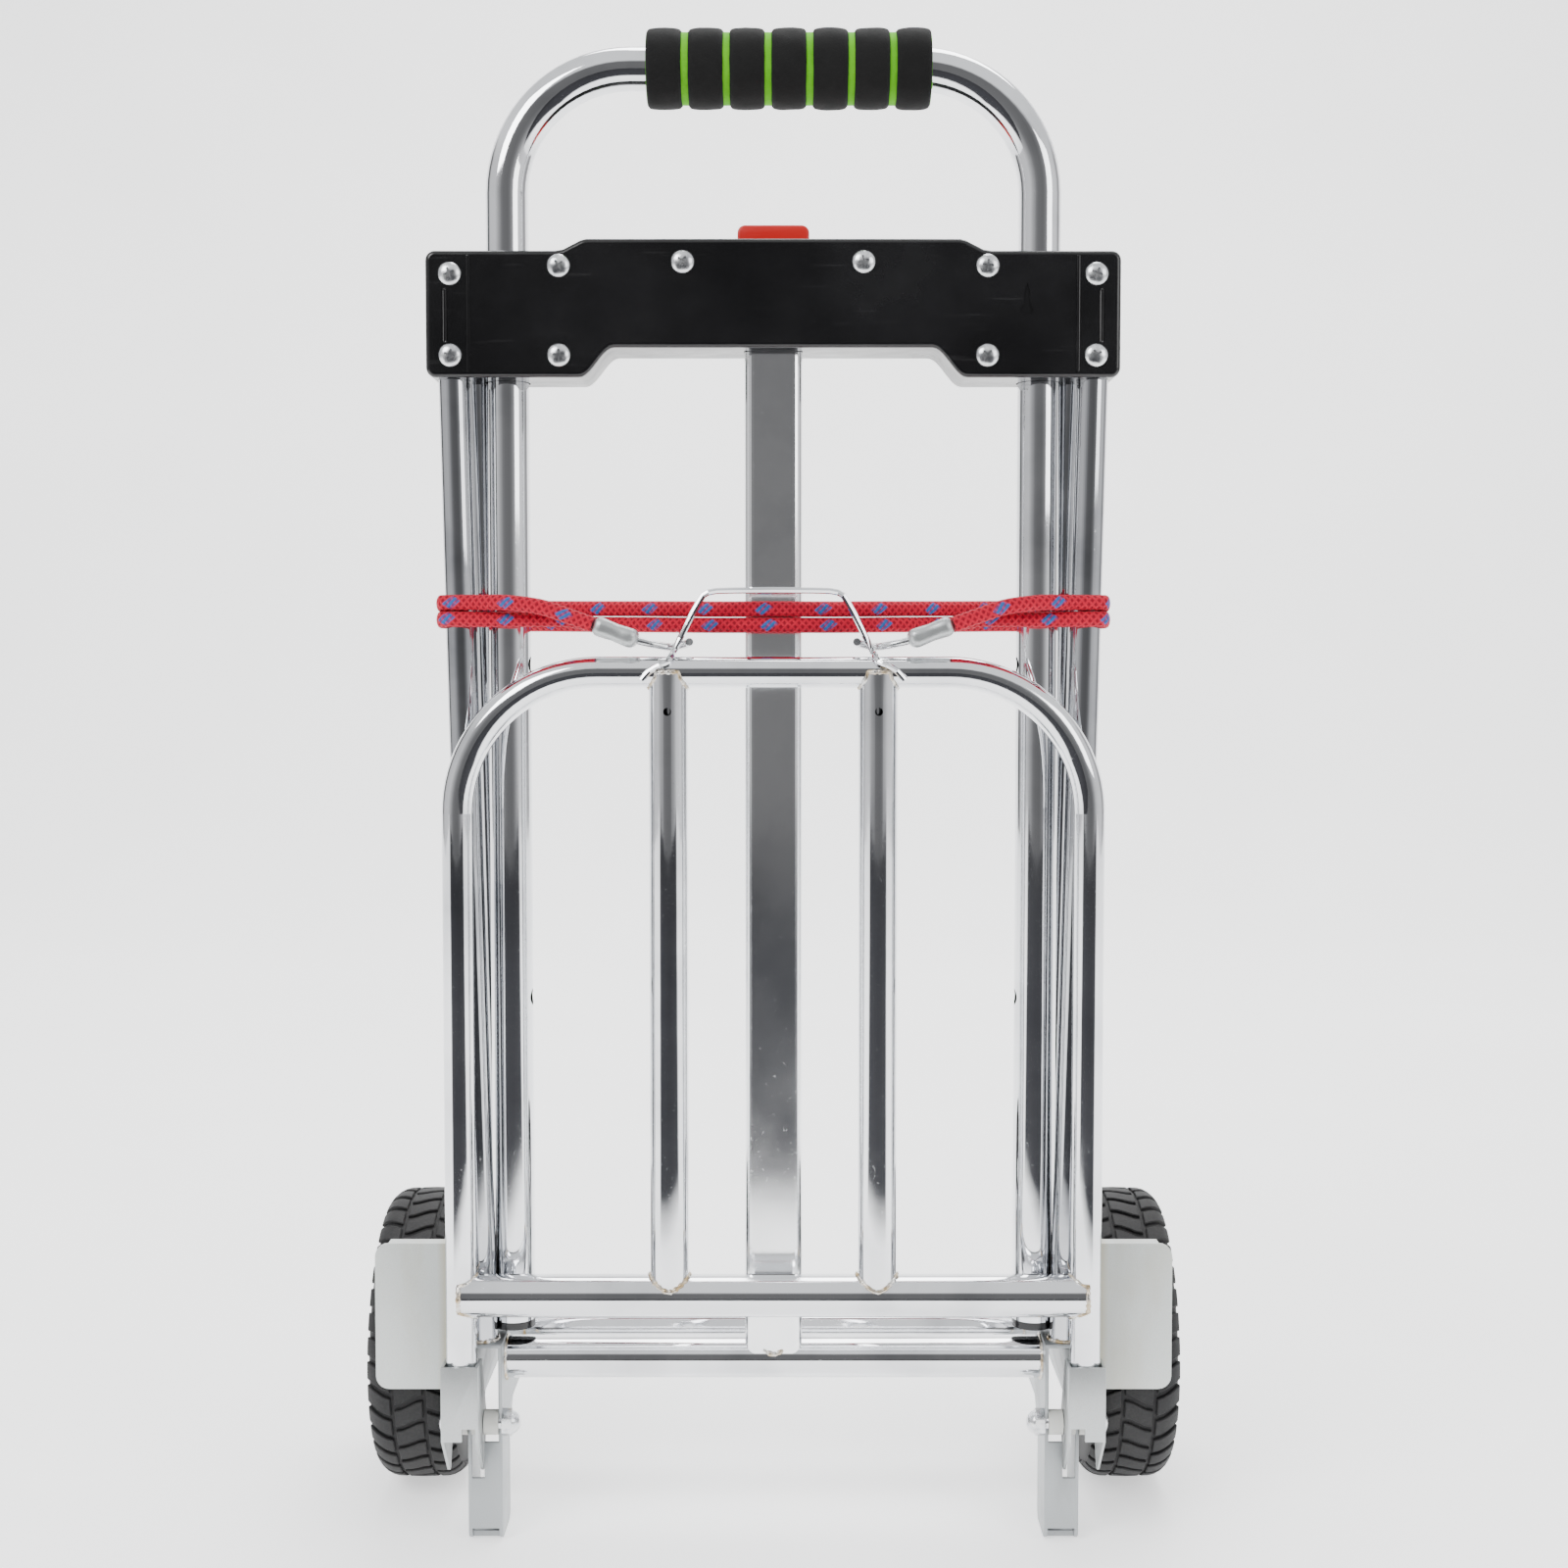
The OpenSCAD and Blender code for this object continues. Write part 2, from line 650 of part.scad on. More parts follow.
// Upright plate in front of the tyre, with a lip folded back along its top
module fender() {
    r = 7;
    x0 = upright_foot_x;
    z1 = fender_z + fender_h;
    color("#d8dcda") difference() {
        union() {
            y_block(fender_y, fender_y + fender_t)
                polygon(concat([[x0, fender_z], [x0, z1]],
                               arc(fender_out - r, z1 - r, r, 90, 0, 5),
                               arc(fender_out - r, fender_z + r, r, 0, -90, 5)));
            translate([foot_out + 2, fender_y, z1 - fender_t])
                cube([fender_out - r - foot_out - 2, fender_lip, fender_t]);
        }
        rod(along(upright_top, upright_foot, foot_h - 20), upright_top, upright_d / 2);
        translate([foot_in, fender_y - 5, 0]) cube([foot_out - foot_in, 20, foot_h]);
    }
}

// ---------- toe plate pivots ----------

module pivot_bolt() {
    color("silver") {
        x_rod(foot_in - 6, bracket_out + running_gap + 1, pivot_y, pivot_z, pivot_bolt_d / 2);
        translate([bracket_out + running_gap, pivot_y, pivot_z]) rotate([0, 90, 0]) dome(7, 0.8, 3.4);
    }
}

// Dome nut
module pivot_nut() {
    flat = 13;
    color("silver") difference() {
        union() {
            translate([foot_in, pivot_y, pivot_z]) rotate([0, -90, 0])
                cylinder(h = 5, d = flat / cos(30), $fn = 6);
            translate([foot_in - 4, pivot_y, pivot_z]) rotate([0, -90, 0]) dome(6.2, 0.5, 5);
        }
        x_rod(foot_in - 6, foot_in + eps, pivot_y, pivot_z, pivot_bolt_d / 2);
    }
}

module spacer(x0, x1) {
    x_tube(x0, x1, pivot_y, pivot_z, pivot_bolt_d / 2 + 2.5, pivot_bolt_d / 2);
}

// Spacers on the pivot bolt, between the cheeks and the hinge bracket's flanges
module pivot_spacers() {
    color("white") {
        spacer(foot_in + foot_sheet, bracket_in - running_gap);
        spacer(bracket_in + bracket_sheet + running_gap, foot_out - foot_sheet);
        spacer(foot_out, bracket_out - bracket_sheet - running_gap);
    }
}

// ---------- toe plate ----------

// Centre line of the hoop as a solid of radius r
module hoop_path(r, foot_z) {
    bend_z = toe_h - toe_bend_r;
    for (s = [-1, 1]) {
        translate([s * rail_x, toe_y, foot_z]) cylinder(h = bend_z - foot_z, r = r);
        translate([s * (rail_x - toe_bend_r), toe_y, bend_z]) rotate([90, 0, 0])
            rotate([0, 0, s > 0 ? 0 : 90]) rotate_extrude(angle = 90)
                translate([toe_bend_r, 0]) circle(r = r);
    }
    x_rod(toe_bend_r - rail_x, rail_x - toe_bend_r, toe_y, toe_h, r);
}

module toe_hoop() {
    color("silver") difference() {
        hoop_path(toe_tube_d / 2, rail_foot_z);
        hoop_path(toe_tube_d / 2 - tube_wall, rail_foot_z - eps);
    }
}

slat_hole_r = 2;
slat_hole_drop = 20;

// Tube between the top of the hoop and the cross tube, coped on both, with a drain hole in its front
module toe_slat(s) {
    x = s * slat_spacing / 2;
    color("silver") difference() {
        translate([x, toe_y, toe_cross_z]) cylinder(h = toe_h - toe_cross_z, r = slat_d / 2);
        translate([x, toe_y, toe_cross_z - eps])
            cylinder(h = toe_h - toe_cross_z + 2 * eps, r = slat_d / 2 - tube_wall);
        x_rod(x - slat_d, x + slat_d, toe_y, toe_h, toe_tube_d / 2);
        x_rod(x - slat_d, x + slat_d, toe_y, toe_cross_z, cross_tube_d / 2);
        translate([x, toe_y, toe_h - slat_hole_drop]) rotate([90, 0, 0])
            cylinder(h = slat_d, r = slat_hole_r);
    }
}

// Cross tube between the rails, coped on both
module toe_cross_tube() {
    color("silver") difference() {
        x_tube(-rail_x, rail_x, toe_y, toe_cross_z, cross_tube_d / 2, cross_tube_d / 2 - tube_wall);
        for (s = [-1, 1]) translate([s * rail_x, toe_y, toe_cross_z - cross_tube_d])
            cylinder(h = 2 * cross_tube_d, r = toe_tube_d / 2);
        for (s = [-1, 1]) translate([s * (rail_x + cross_tube_d / 2), toe_y, toe_cross_z])
            cube([cross_tube_d, 2 * cross_tube_d, 2 * cross_tube_d], center = true);
    }
}

// Wire loop welded over the hoop's top tube, for the bungee hooks
module cord_loop() {
    r = loop_wire_d / 2;
    reach = toe_tube_d / 2 + r + 0.1;
    half = [[20, toe_y, toe_h + 41.5], [33, toe_y, toe_h + 40.5], [37.5, toe_y, toe_h + 36],
            [44, toe_y, toe_h + 24], [50, toe_y - 0.5, toe_h + reach + 2],
            [51.5, toe_y - 5, toe_h + reach - 1.2], [53.5, toe_y - 8.4, toe_h + 5.2],
            [57.5, toe_y - reach, toe_h + 3.4], [62.5, toe_y - reach, toe_h + 0.5],
            [66.5, toe_y - reach, toe_h - 4]];
    color("silver") sweep(curve(concat(flip(half), half), 2), r, 8);
}

// Side view of a hinge flange: round at the pivot, with a pointed stop below it
module flange_profile() {
    front = toe_y - toe_tube_d / 2 - bracket_sheet;
    polygon(concat([[front, pivot_z - 3], [front, pivot_z + 36], [toe_y + 6, pivot_z + 36]],
                   arc(pivot_y, pivot_z, 9, 25, -30, 6),
                   arc(pivot_y - 1, pivot_z - 23, 2, -20, -160, 5)));
}

// Folded bracket round the lower end of a rail, turning on the pivot bolt. Its front is notched, as it
// swings down past the foot's outer cheek
module hinge_bracket() {
    front = toe_y - toe_tube_d / 2 - bracket_sheet;
    notch_h = pivot_y - foot_front_y + 3 + 2 * running_gap;
    notch_x = bracket_in + bracket_sheet;
    color("#cfd5d5") difference() {
        union() {
            x_plate(bracket_in, bracket_in + bracket_sheet) flange_profile();
            x_plate(bracket_out - bracket_sheet, bracket_out) flange_profile();
            translate([bracket_in, front, pivot_z - 3]) cube([bracket_out - bracket_in, bracket_sheet, 39]);
        }
        x_rod(bracket_in - eps, bracket_out + eps, pivot_y, pivot_z, pivot_bolt_d / 2 + slide_fit);
        translate([notch_x, front - eps, pivot_z - 3 - eps])
            cube([foot_out + running_gap - notch_x, bracket_sheet + 2 * eps, notch_h + eps]);
    }
}

// ---------- wheels ----------

rim_r = 50;
bearing_r = 14;
bearing_w = 8;

module wheel_spacer() {
    color("gray") x_tube(foot_out, tyre_in - running_gap, axle_y, axle_z, 10, axle_d / 2);
}

module axle_cap() {
    color("silver") difference() {
        translate([tyre_out + running_gap, axle_y, axle_z]) rotate([0, 90, 0]) dome(11, 1.2, 4.2);
        x_rod(tyre_out, tyre_out + 4, axle_y, axle_z, axle_d / 2);
    }
}

// Tyre section: flat tread with round shoulders, on the rim
module tyre() {
    r = 11;
    half = tyre_w / 2;
    outer = wheel_d / 2;
    color("#2a2a2c") translate([tyre_in + half, axle_y, axle_z]) rotate([0, 90, 0])
        rotate_extrude($fn = 96)
            polygon(concat([[rim_r, -half + 4], [rim_r + 6, -half]],
                           arc(outer - r, -half + r, r, -90, 0, 6),
                           arc(outer - r, half - r, r, 0, 90, 6),
                           [[rim_r + 6, half], [rim_r, half - 4]]));
}

module wheel_rim() {
    mid = tyre_in + tyre_w / 2;
    color("#3a3a3c") difference() {
        union() {
            x_tube(tyre_in + 4, tyre_out - 4, axle_y, axle_z, rim_r, rim_r - 4);
            x_rod(mid - 3, mid + 3, axle_y, axle_z, rim_r - 3);
            x_rod(tyre_in, tyre_out, axle_y, axle_z, bearing_r + 4);
        }
        for (a = [0:72:288]) translate([mid, axle_y, axle_z]) rotate([a, 0, 0]) translate([0, 0, 32])
            rotate([0, 90, 0]) cylinder(h = 20, r = 9, center = true);
        x_rod(tyre_in - eps, tyre_out + eps, axle_y, axle_z, axle_d / 2 + 1);
        x_rod(tyre_in - eps, tyre_in + bearing_w, axle_y, axle_z, bearing_r);
        x_rod(tyre_out - bearing_w, tyre_out + eps, axle_y, axle_z, bearing_r);
    }
}

module wheel_bearings() {
    color("silver") {
        x_tube(tyre_in, tyre_in + bearing_w, axle_y, axle_z, bearing_r, axle_d / 2 + slide_fit);
        x_tube(tyre_out - bearing_w, tyre_out, axle_y, axle_z, bearing_r, axle_d / 2 + slide_fit);
    }
}

// ---------- bungee cord ----------

module bungee_strand(left_part, middle) {
    color("crimson") sweep(curve(concat(left_part, middle, flip(left_part)), 1), cord_d / 2, 10);
}

// Crimped metal sleeve that holds both strands and the hook's end
module bungee_sleeve() {
    color("#dfe2e2") translate(sleeve_at) rotate([0, sleeve_tilt, 0]) rotate([0, 90, 0])
        linear_extrude(sleeve_len, center = true)
            polygon(concat(arc(0, sleeve_half, sleeve_r, 0, 180, 8),
                           arc(0, -sleeve_half, sleeve_r, 180, 360, 8)));
}

module bungee_hook() {
    color("silver") sweep(curve(hook_route, 3), hook_r, 10);
}

handle_tube();
foam_grip();
grip_core();
leg_plug(-1);  // leg_plug_left
leg_plug(1);  // leg_plug_right
crossbar_front_shell();
crossbar_rear_shell();
crossbar_screws();
leg_guide(-1);  // leg_guide_left
leg_guide(1);  // leg_guide_right
release_button();
button_spring();
latch_bolt(-1);  // latch_bolt_left
latch_bolt(1);  // latch_bolt_right
latch_spring(-1);  // latch_spring_left
latch_spring(1);  // latch_spring_right
left() upright();  // upright_left
upright();  // upright_right
left() rear_brace();  // rear_brace_left
rear_brace();  // rear_brace_right
center_post();
lower_cross_tube();
axle_tube();
axle_rod();
left() foot_bracket();  // foot_bracket_left
foot_bracket();  // foot_bracket_right
left() fender();  // fender_left
fender();  // fender_right
left() pivot_bolt();  // pivot_bolt_left
pivot_bolt();  // pivot_bolt_right
left() pivot_nut();  // pivot_nut_left
pivot_nut();  // pivot_nut_right
left() pivot_spacers();  // pivot_spacers_left
pivot_spacers();  // pivot_spacers_right
left() wheel_spacer();  // wheel_spacer_left
wheel_spacer();  // wheel_spacer_right
left() axle_cap();  // axle_cap_left
axle_cap();  // axle_cap_right
left() tyre();  // tyre_left
tyre();  // tyre_right
left() wheel_rim();  // wheel_rim_left
wheel_rim();  // wheel_rim_right
left() wheel_bearings();  // wheel_bearings_left
wheel_bearings();  // wheel_bearings_right
toe_hoop();
toe_slat(-1);  // toe_slat_left
toe_slat(1);  // toe_slat_right
toe_cross_tube();
cord_loop();
left() hinge_bracket();  // hinge_bracket_left
hinge_bracket();  // hinge_bracket_right
bungee_strand(cord_left_upper, cord_middle_upper);  // bungee_strand_upper
bungee_strand(cord_left_lower, cord_middle_lower);  // bungee_strand_lower
bungee_sleeve();  // bungee_sleeve_left
left() bungee_sleeve();  // bungee_sleeve_right
bungee_hook();  // bungee_hook_left
left() bungee_hook();  // bungee_hook_right
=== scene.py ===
"""Looks of a folding luggage cart: chrome tubes, black crossbar, foam grip, block-tread tyres and cord."""

import logging
import math
from dataclasses import dataclass, field
from enum import Enum
from typing import Any, Callable, Iterable

import bpy
import numpy as np
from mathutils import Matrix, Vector


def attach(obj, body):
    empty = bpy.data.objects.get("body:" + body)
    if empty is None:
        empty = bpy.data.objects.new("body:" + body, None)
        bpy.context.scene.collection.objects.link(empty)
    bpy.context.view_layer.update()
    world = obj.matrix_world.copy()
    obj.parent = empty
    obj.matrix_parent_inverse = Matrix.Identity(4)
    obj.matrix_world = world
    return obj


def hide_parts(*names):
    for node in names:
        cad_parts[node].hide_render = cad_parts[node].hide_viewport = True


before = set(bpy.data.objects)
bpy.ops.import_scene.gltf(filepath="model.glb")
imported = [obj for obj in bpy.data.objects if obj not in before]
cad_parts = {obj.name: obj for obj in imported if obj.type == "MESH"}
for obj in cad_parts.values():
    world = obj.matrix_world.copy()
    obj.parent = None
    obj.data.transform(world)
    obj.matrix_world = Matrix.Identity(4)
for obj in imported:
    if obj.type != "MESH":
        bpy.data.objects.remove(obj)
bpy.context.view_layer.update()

LOG = logging.getLogger("luggage_cart")
MM = 0.001
Colour = tuple[float, float, float]
Route = list[tuple[float, float, float]]


# ---------- modelling helpers ----------


class Side(Enum):
    """Left and right halves of the cart."""

    LEFT = "left"
    RIGHT = "right"

    @property
    def sign(self) -> float:
        """Sign of x on this side."""
        return -1.0 if self is Side.LEFT else 1.0


def deselect() -> None:
    """Leaves edit mode and deselects every object."""
    if bpy.context.object and bpy.context.object.mode != "OBJECT":
        bpy.ops.object.mode_set(mode="OBJECT")
    bpy.ops.object.select_all(action="DESELECT")


def pick(piece: bpy.types.Object) -> bpy.types.Object:
    """Makes a piece the only selected one, and the active one.

    Args:
        piece: The object to select.

    Returns:
        The same object.
    """
    deselect()
    piece.select_set(True)
    bpy.context.view_layer.objects.active = piece
    return piece


def settle(piece: bpy.types.Object) -> bpy.types.Object:
    """Moves a piece's place, turn and scale into its mesh.

    Args:
        piece: The object to settle at the origin.

    Returns:
        The same object.
    """
    pick(piece)
    bpy.ops.object.transform_apply(location=True, rotation=True, scale=True)
    return piece


def apply_modifiers(piece: bpy.types.Object) -> None:
    """Applies every modifier of a piece in order.

    Args:
        piece: The object whose modifiers are applied.
    """
    pick(piece)
    for name in [m.name for m in piece.modifiers]:
        bpy.ops.object.modifier_apply(modifier=name)


def smooth(piece: bpy.types.Object, degrees: float = 35.0) -> None:
    """Shades a piece smooth, apart from edges sharper than an angle.

    Args:
        piece: The object to shade.
        degrees: The angle from which an edge stays sharp.
    """
    pick(piece)
    bpy.ops.object.shade_smooth_by_angle(angle=math.radians(degrees))


def in_edit(piece: bpy.types.Object, work: Callable[[], None]) -> None:
    """Runs edit-mode operators on a whole piece.

    Args:
        piece: The object to edit.
        work: What to do in edit mode, with everything selected.
    """
    pick(piece)
    bpy.ops.object.mode_set(mode="EDIT")
    bpy.ops.mesh.select_all(action="SELECT")
    work()
    bpy.ops.object.mode_set(mode="OBJECT")


def in_face_edit(work: Callable[[], None]) -> None:
    """Runs edit-mode operators on the faces that are selected in the active object.

    Args:
        work: What to do in edit mode.
    """
    bpy.ops.object.mode_set(mode="EDIT")
    work()
    bpy.ops.object.mode_set(mode="OBJECT")


def select_faces(piece: bpy.types.Object, test: Callable[[Vector, Vector], bool]) -> int:
    """Selects a piece's faces by their centre and normal, with the piece in object mode.

    Args:
        piece: The object to look at.
        test: True for a face's centre and normal that should be selected.

    Returns:
        How many faces were selected.
    """
    pick(piece)
    bpy.ops.object.mode_set(mode="EDIT")
    bpy.ops.mesh.select_mode(type="FACE")
    bpy.ops.mesh.select_all(action="DESELECT")
    bpy.ops.object.mode_set(mode="OBJECT")
    count = 0
    for face in piece.data.polygons:
        face.select = test(face.center, face.normal)
        count += face.select
    return count


def bevel(piece: bpy.types.Object, width: float, segments: int = 2, degrees: float = 32.0) -> None:
    """Rounds a piece's sharp edges.

    Args:
        piece: The object to round.
        width: Width of the bevel in metres.
        segments: Steps across the bevel.
        degrees: Edges sharper than this are rounded.
    """
    m = piece.modifiers.new("round", "BEVEL")
    m.width = width
    m.segments = segments
    m.limit_method = "ANGLE"
    m.angle_limit = math.radians(degrees)
    m.use_clamp_overlap = True
    m.harden_normals = False
    apply_modifiers(piece)


def even_normals(piece: bpy.types.Object) -> None:
    """Shades a piece's large flat faces flat, with the bend kept to its small faces.

    Args:
        piece: The object, already shaded smooth.
    """
    m = piece.modifiers.new("even", "WEIGHTED_NORMAL")
    m.keep_sharp = True
    m.weight = 90
    apply_modifiers(piece)


def cut(piece: bpy.types.Object, cutter: bpy.types.Object) -> None:
    """Cuts one closed shape out of another and removes the cutter.

    Args:
        piece: The object that is cut.
        cutter: The object that cuts.
    """
    m = piece.modifiers.new("cut", "BOOLEAN")
    m.operation = "DIFFERENCE"
    m.solver = "EXACT"
    m.object = cutter
    apply_modifiers(piece)
    bpy.data.objects.remove(cutter)


def join(pieces: list[bpy.types.Object], name: str) -> bpy.types.Object:
    """Joins several meshes into one piece.

    Args:
        pieces: The objects to join.
        name: Name of the result.

    Returns:
        The joined object.
    """
    deselect()
    for p in pieces:
        p.select_set(True)
    bpy.context.view_layer.objects.active = pieces[0]
    if len(pieces) > 1:
        bpy.ops.object.join()
    pieces[0].name = name
    return pieces[0]


def cube(name: str, low: Iterable[float], high: Iterable[float]) -> bpy.types.Object:
    """Adds a box between two corners.

    Args:
        name: Name of the object.
        low: Its lowest corner in metres.
        high: Its highest corner in metres.

    Returns:
        The new object, settled.
    """
    low, high = Vector(low), Vector(high)
    deselect()
    bpy.ops.mesh.primitive_cube_add(size=1.0, location=(low + high) / 2)
    made = bpy.context.object
    made.scale = high - low
    made.name = name
    return settle(made)


def rod(name: str, start: Vector, end: Vector, radius: float, sides: int = 48) -> bpy.types.Object:
    """Adds a cylinder between two points.

    Args:
        name: Name of the object.
        start: Centre of one end.
        end: Centre of the other end.
        radius: Its radius in metres.
        sides: Sides round it.

    Returns:
        The new object, settled.
    """
    start, end = Vector(start), Vector(end)
    run = end - start
    deselect()
    bpy.ops.mesh.primitive_cylinder_add(vertices=sides, radius=radius, depth=run.length,
                                        location=(start + end) / 2)
    made = bpy.context.object
    made.rotation_mode = "QUATERNION"
    made.rotation_quaternion = run.to_track_quat("Z", "Y")
    made.name = name
    return settle(made)


def copy_node(node: str, name: str) -> bpy.types.Object:
    """Copies a CAD node's mesh as a new piece with its loose triangles merged and flat faces joined.

    Args:
        node: Name of the CAD node.
        name: Name of the new piece.

    Returns:
        The new object.
    """
    made = bpy.data.objects.new(name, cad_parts[node].data.copy())
    bpy.context.scene.collection.objects.link(made)
    made.data.materials.clear()

    def clean() -> None:
        """Merges the triangles' corners and dissolves edges between flat faces."""
        bpy.ops.mesh.customdata_custom_splitnormals_clear()
        bpy.ops.mesh.remove_doubles(threshold=0.00001)
        bpy.ops.mesh.dissolve_limited(angle_limit=math.radians(1.0))

    in_edit(made, clean)
    return made


def spread(points: Route, steps: int) -> list[Vector]:
    """Runs one smooth curve through a route's points.

    Args:
        points: The points, in metres.
        steps: How many steps each stretch is divided into.

    Returns:
        Points along the curve.
    """
    p = [Vector(q) for q in points]
    last = len(p) - 1
    line = []
    for i in range(last):
        a, b, c, d = p[max(i - 1, 0)], p[i], p[i + 1], p[min(i + 2, last)]
        for k in range(steps):
            t = k / steps
            line.append(0.5 * (2 * b + (c - a) * t + (2 * a - 5 * b + 4 * c - d) * t * t
                               + (3 * b - a - 3 * c + d) * t * t * t))
    return line + [p[last]]


def dress(piece: bpy.types.Object, material: bpy.types.Material, body: str | None = None,
          replaces: Iterable[str] = ()) -> bpy.types.Object:
    """Gives a piece its material, the body it rides on and the CAD nodes it stands for.

    Args:
        piece: The finished object.
        material: Its material.
        body: Name of the CAD body that carries it, or None for a CAD node.
        replaces: CAD nodes that it stands for.

    Returns:
        The same object.
    """
    piece.data.materials.clear()
    piece.data.materials.append(material)
    if body:
        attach(piece, body)
    if replaces:
        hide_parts(*replaces)
    LOG.info("%s: %d faces", piece.name, len(piece.data.polygons))
    return piece


# ---------- finishes ----------


class NodeSet:
    """A node tree, with short names for the nodes that the finishes and the sky use."""

    def __init__(self, tree: bpy.types.NodeTree) -> None:
        """Takes the tree that the nodes are added to.

        Args:
            tree: The node tree.
        """
        self.tree = tree

    def node(self, kind: str, links: dict | None = None, **settings: object) -> bpy.types.Node:
        """Adds a node.

        Args:
            kind: Blender's name for the node type, without the leading ShaderNode.
            links: Values or sockets for its inputs, by name or number.
            settings: The node's own settings.

        Returns:
            The new node.
        """
        made = self.tree.nodes.new("ShaderNode" + kind)
        for key, value in settings.items():
            setattr(made, key, value)
        for key, value in (links or {}).items():
            if isinstance(value, bpy.types.NodeSocket):
                self.tree.links.new(value, made.inputs[key])
            else:
                made.inputs[key].default_value = value
        return made

    def place(self, scale: tuple[float, float, float] = (1, 1, 1),
              kind: str = "Object") -> bpy.types.NodeSocket:
        """Coordinates scaled along each axis.

        Args:
            scale: Scale along X, Y and Z.
            kind: Object or UV.

        Returns:
            The vector socket.
        """
        where = self.node("TexCoord").outputs[kind]
        return self.node("Mapping", {"Vector": where, "Scale": scale}).outputs["Vector"]

    def noise(self, scale: float, detail: float = 3.0, stretch: tuple = (1, 1, 1),
              rough: float = 0.55) -> bpy.types.NodeSocket:
        """Cloudy noise, from 0 to 1.

        Args:
            scale: Cells per metre.
            detail: Octaves.
            stretch: Scale along each axis.
            rough: How strong the finer octaves are.

        Returns:
            The value socket.
        """
        return self.node("TexNoise", {"Vector": self.place(stretch), "Scale": scale, "Detail": detail,
                                      "Roughness": rough}).outputs["Fac"]

    def ramp(self, value: bpy.types.NodeSocket, *stops: tuple[float, tuple]) -> bpy.types.NodeSocket:
        """Maps a value to colours.

        Args:
            value: The value socket.
            stops: Positions from 0 to 1, each with its colour.

        Returns:
            The colour socket.
        """
        made = self.node("ValToRGB", {"Fac": value})
        for i, (at, colour) in enumerate(stops):
            stop = made.color_ramp.elements[i] if i < 2 else made.color_ramp.elements.new(at)
            stop.position = at
            stop.color = (*colour, 1.0)
        return made.outputs["Color"]

    def level(self, value: bpy.types.NodeSocket, low: float, high: float, start: float = 0.0,
              end: float = 1.0) -> bpy.types.NodeSocket:
        """Maps a value's range from start to end to the range from low to high."""
        return self.node("MapRange", {"Value": value, "From Min": start, "From Max": end, "To Min": low,
                                      "To Max": high}).outputs["Result"]

    def mix(self, factor: bpy.types.NodeSocket | float, a: object, b: object) -> bpy.types.NodeSocket:
        """Mixes two colours, or sockets that give one.

        Args:
            factor: How much of the second.
            a: The first colour.
            b: The second colour.

        Returns:
            The colour socket.
        """
        made = self.node("Mix", data_type="RGBA")
        for index, value in ((0, factor), (6, a), (7, b)):
            if isinstance(value, bpy.types.NodeSocket):
                self.tree.links.new(value, made.inputs[index])
            else:
                made.inputs[index].default_value = (*value, 1.0) if isinstance(value, tuple) else value
        return made.outputs[2]

    def maths(self, operation: str, *values: object) -> bpy.types.NodeSocket:
        """Does one sum on values or sockets."""
        return self.node("Math", dict(enumerate(values)), operation=operation).outputs[0]


class Graph(NodeSet):
    """A material's nodes, ending in one Principled shader."""

    def __init__(self, name: str) -> None:
        """Starts a material.

        Args:
            name: Name of the material.
        """
        self.material = bpy.data.materials.new(name)
        self.material.use_nodes = True
        super().__init__(self.material.node_tree)
        self.shader = next(n for n in self.tree.nodes if n.type == "BSDF_PRINCIPLED")

    def set(self, **values: float | tuple) -> None:
        """Sets the shader's own sockets; an underscore stands for a space in a socket's name."""
        for key, value in values.items():
            self.shader.inputs[key.replace("_", " ")].default_value = value

    def bump(self, height: bpy.types.NodeSocket, strength: float, depth: float) -> None:
        """Raises the surface by a height, on top of any bump before it.

        Args:
            height: The height socket.
            strength: How strong it is, from 0 to 1.
            depth: Its depth in metres.
        """
        made = self.node("Bump", {"Height": height, "Strength": strength, "Distance": depth})
        before = self.shader.inputs["Normal"]
        if before.is_linked:
            self.tree.links.new(before.links[0].from_socket, made.inputs["Normal"])
        self.tree.links.new(made.outputs["Normal"], before)

    def feed(self, name: str, value: bpy.types.NodeSocket) -> None:
        """Links a socket to one of the shader's inputs."""
        self.tree.links.new(value, self.shader.inputs[name])


@dataclass(frozen=True)
class Chrome:
    """Bright chrome plating with faint smudges, fine polishing lines and specks."""

    name: str = "chrome"
    dark: Colour = (0.55, 0.56, 0.58)
    light: Colour = (0.80, 0.81, 0.83)
    along: tuple[float, float, float] = (1.0, 1.0, 0.05)
    polish: float = 0.05

    def build(self) -> bpy.types.Material:
        """Builds the material."""
        g = Graph(self.name)
        g.set(Metallic=1.0)
        smudge = g.noise(14.0, 4.0)
        lines = g.noise(900.0, 2.0, self.along)
        specks = g.noise(650.0, 1.0)
        g.feed("Base Color", g.ramp(smudge, (0.25, self.dark), (0.5, self.light), (0.8, self.light)))
        haze = g.level(smudge, self.polish, self.polish + 0.09, 0.45, 0.8)
        g.feed("Roughness", g.maths("ADD", haze, g.level(specks, 0.0, 0.12, 0.66, 0.8)))
        g.bump(g.noise(30.0, 2.0), 0.03, 0.002)
        g.bump(lines, 0.02, 0.0002)
        return g.material


@dataclass(frozen=True)
class Weld:
    """Plated weld bead with ripples, browned by heat."""

    name: str = "weld_bead"
    clean: Colour = (0.72, 0.72, 0.70)
    burnt: Colour = (0.42, 0.31, 0.17)

    def build(self) -> bpy.types.Material:
        """Builds the material."""
        g = Graph(self.name)
        g.set(Metallic=1.0)
        heat = g.noise(160.0, 3.0)
        g.feed("Base Color", g.ramp(heat, (0.35, self.clean), (0.62, self.burnt)))
        g.feed("Roughness", g.level(heat, 0.16, 0.42))
        g.bump(g.noise(500.0, 3.0), 0.5, 0.0006)
        return g.material


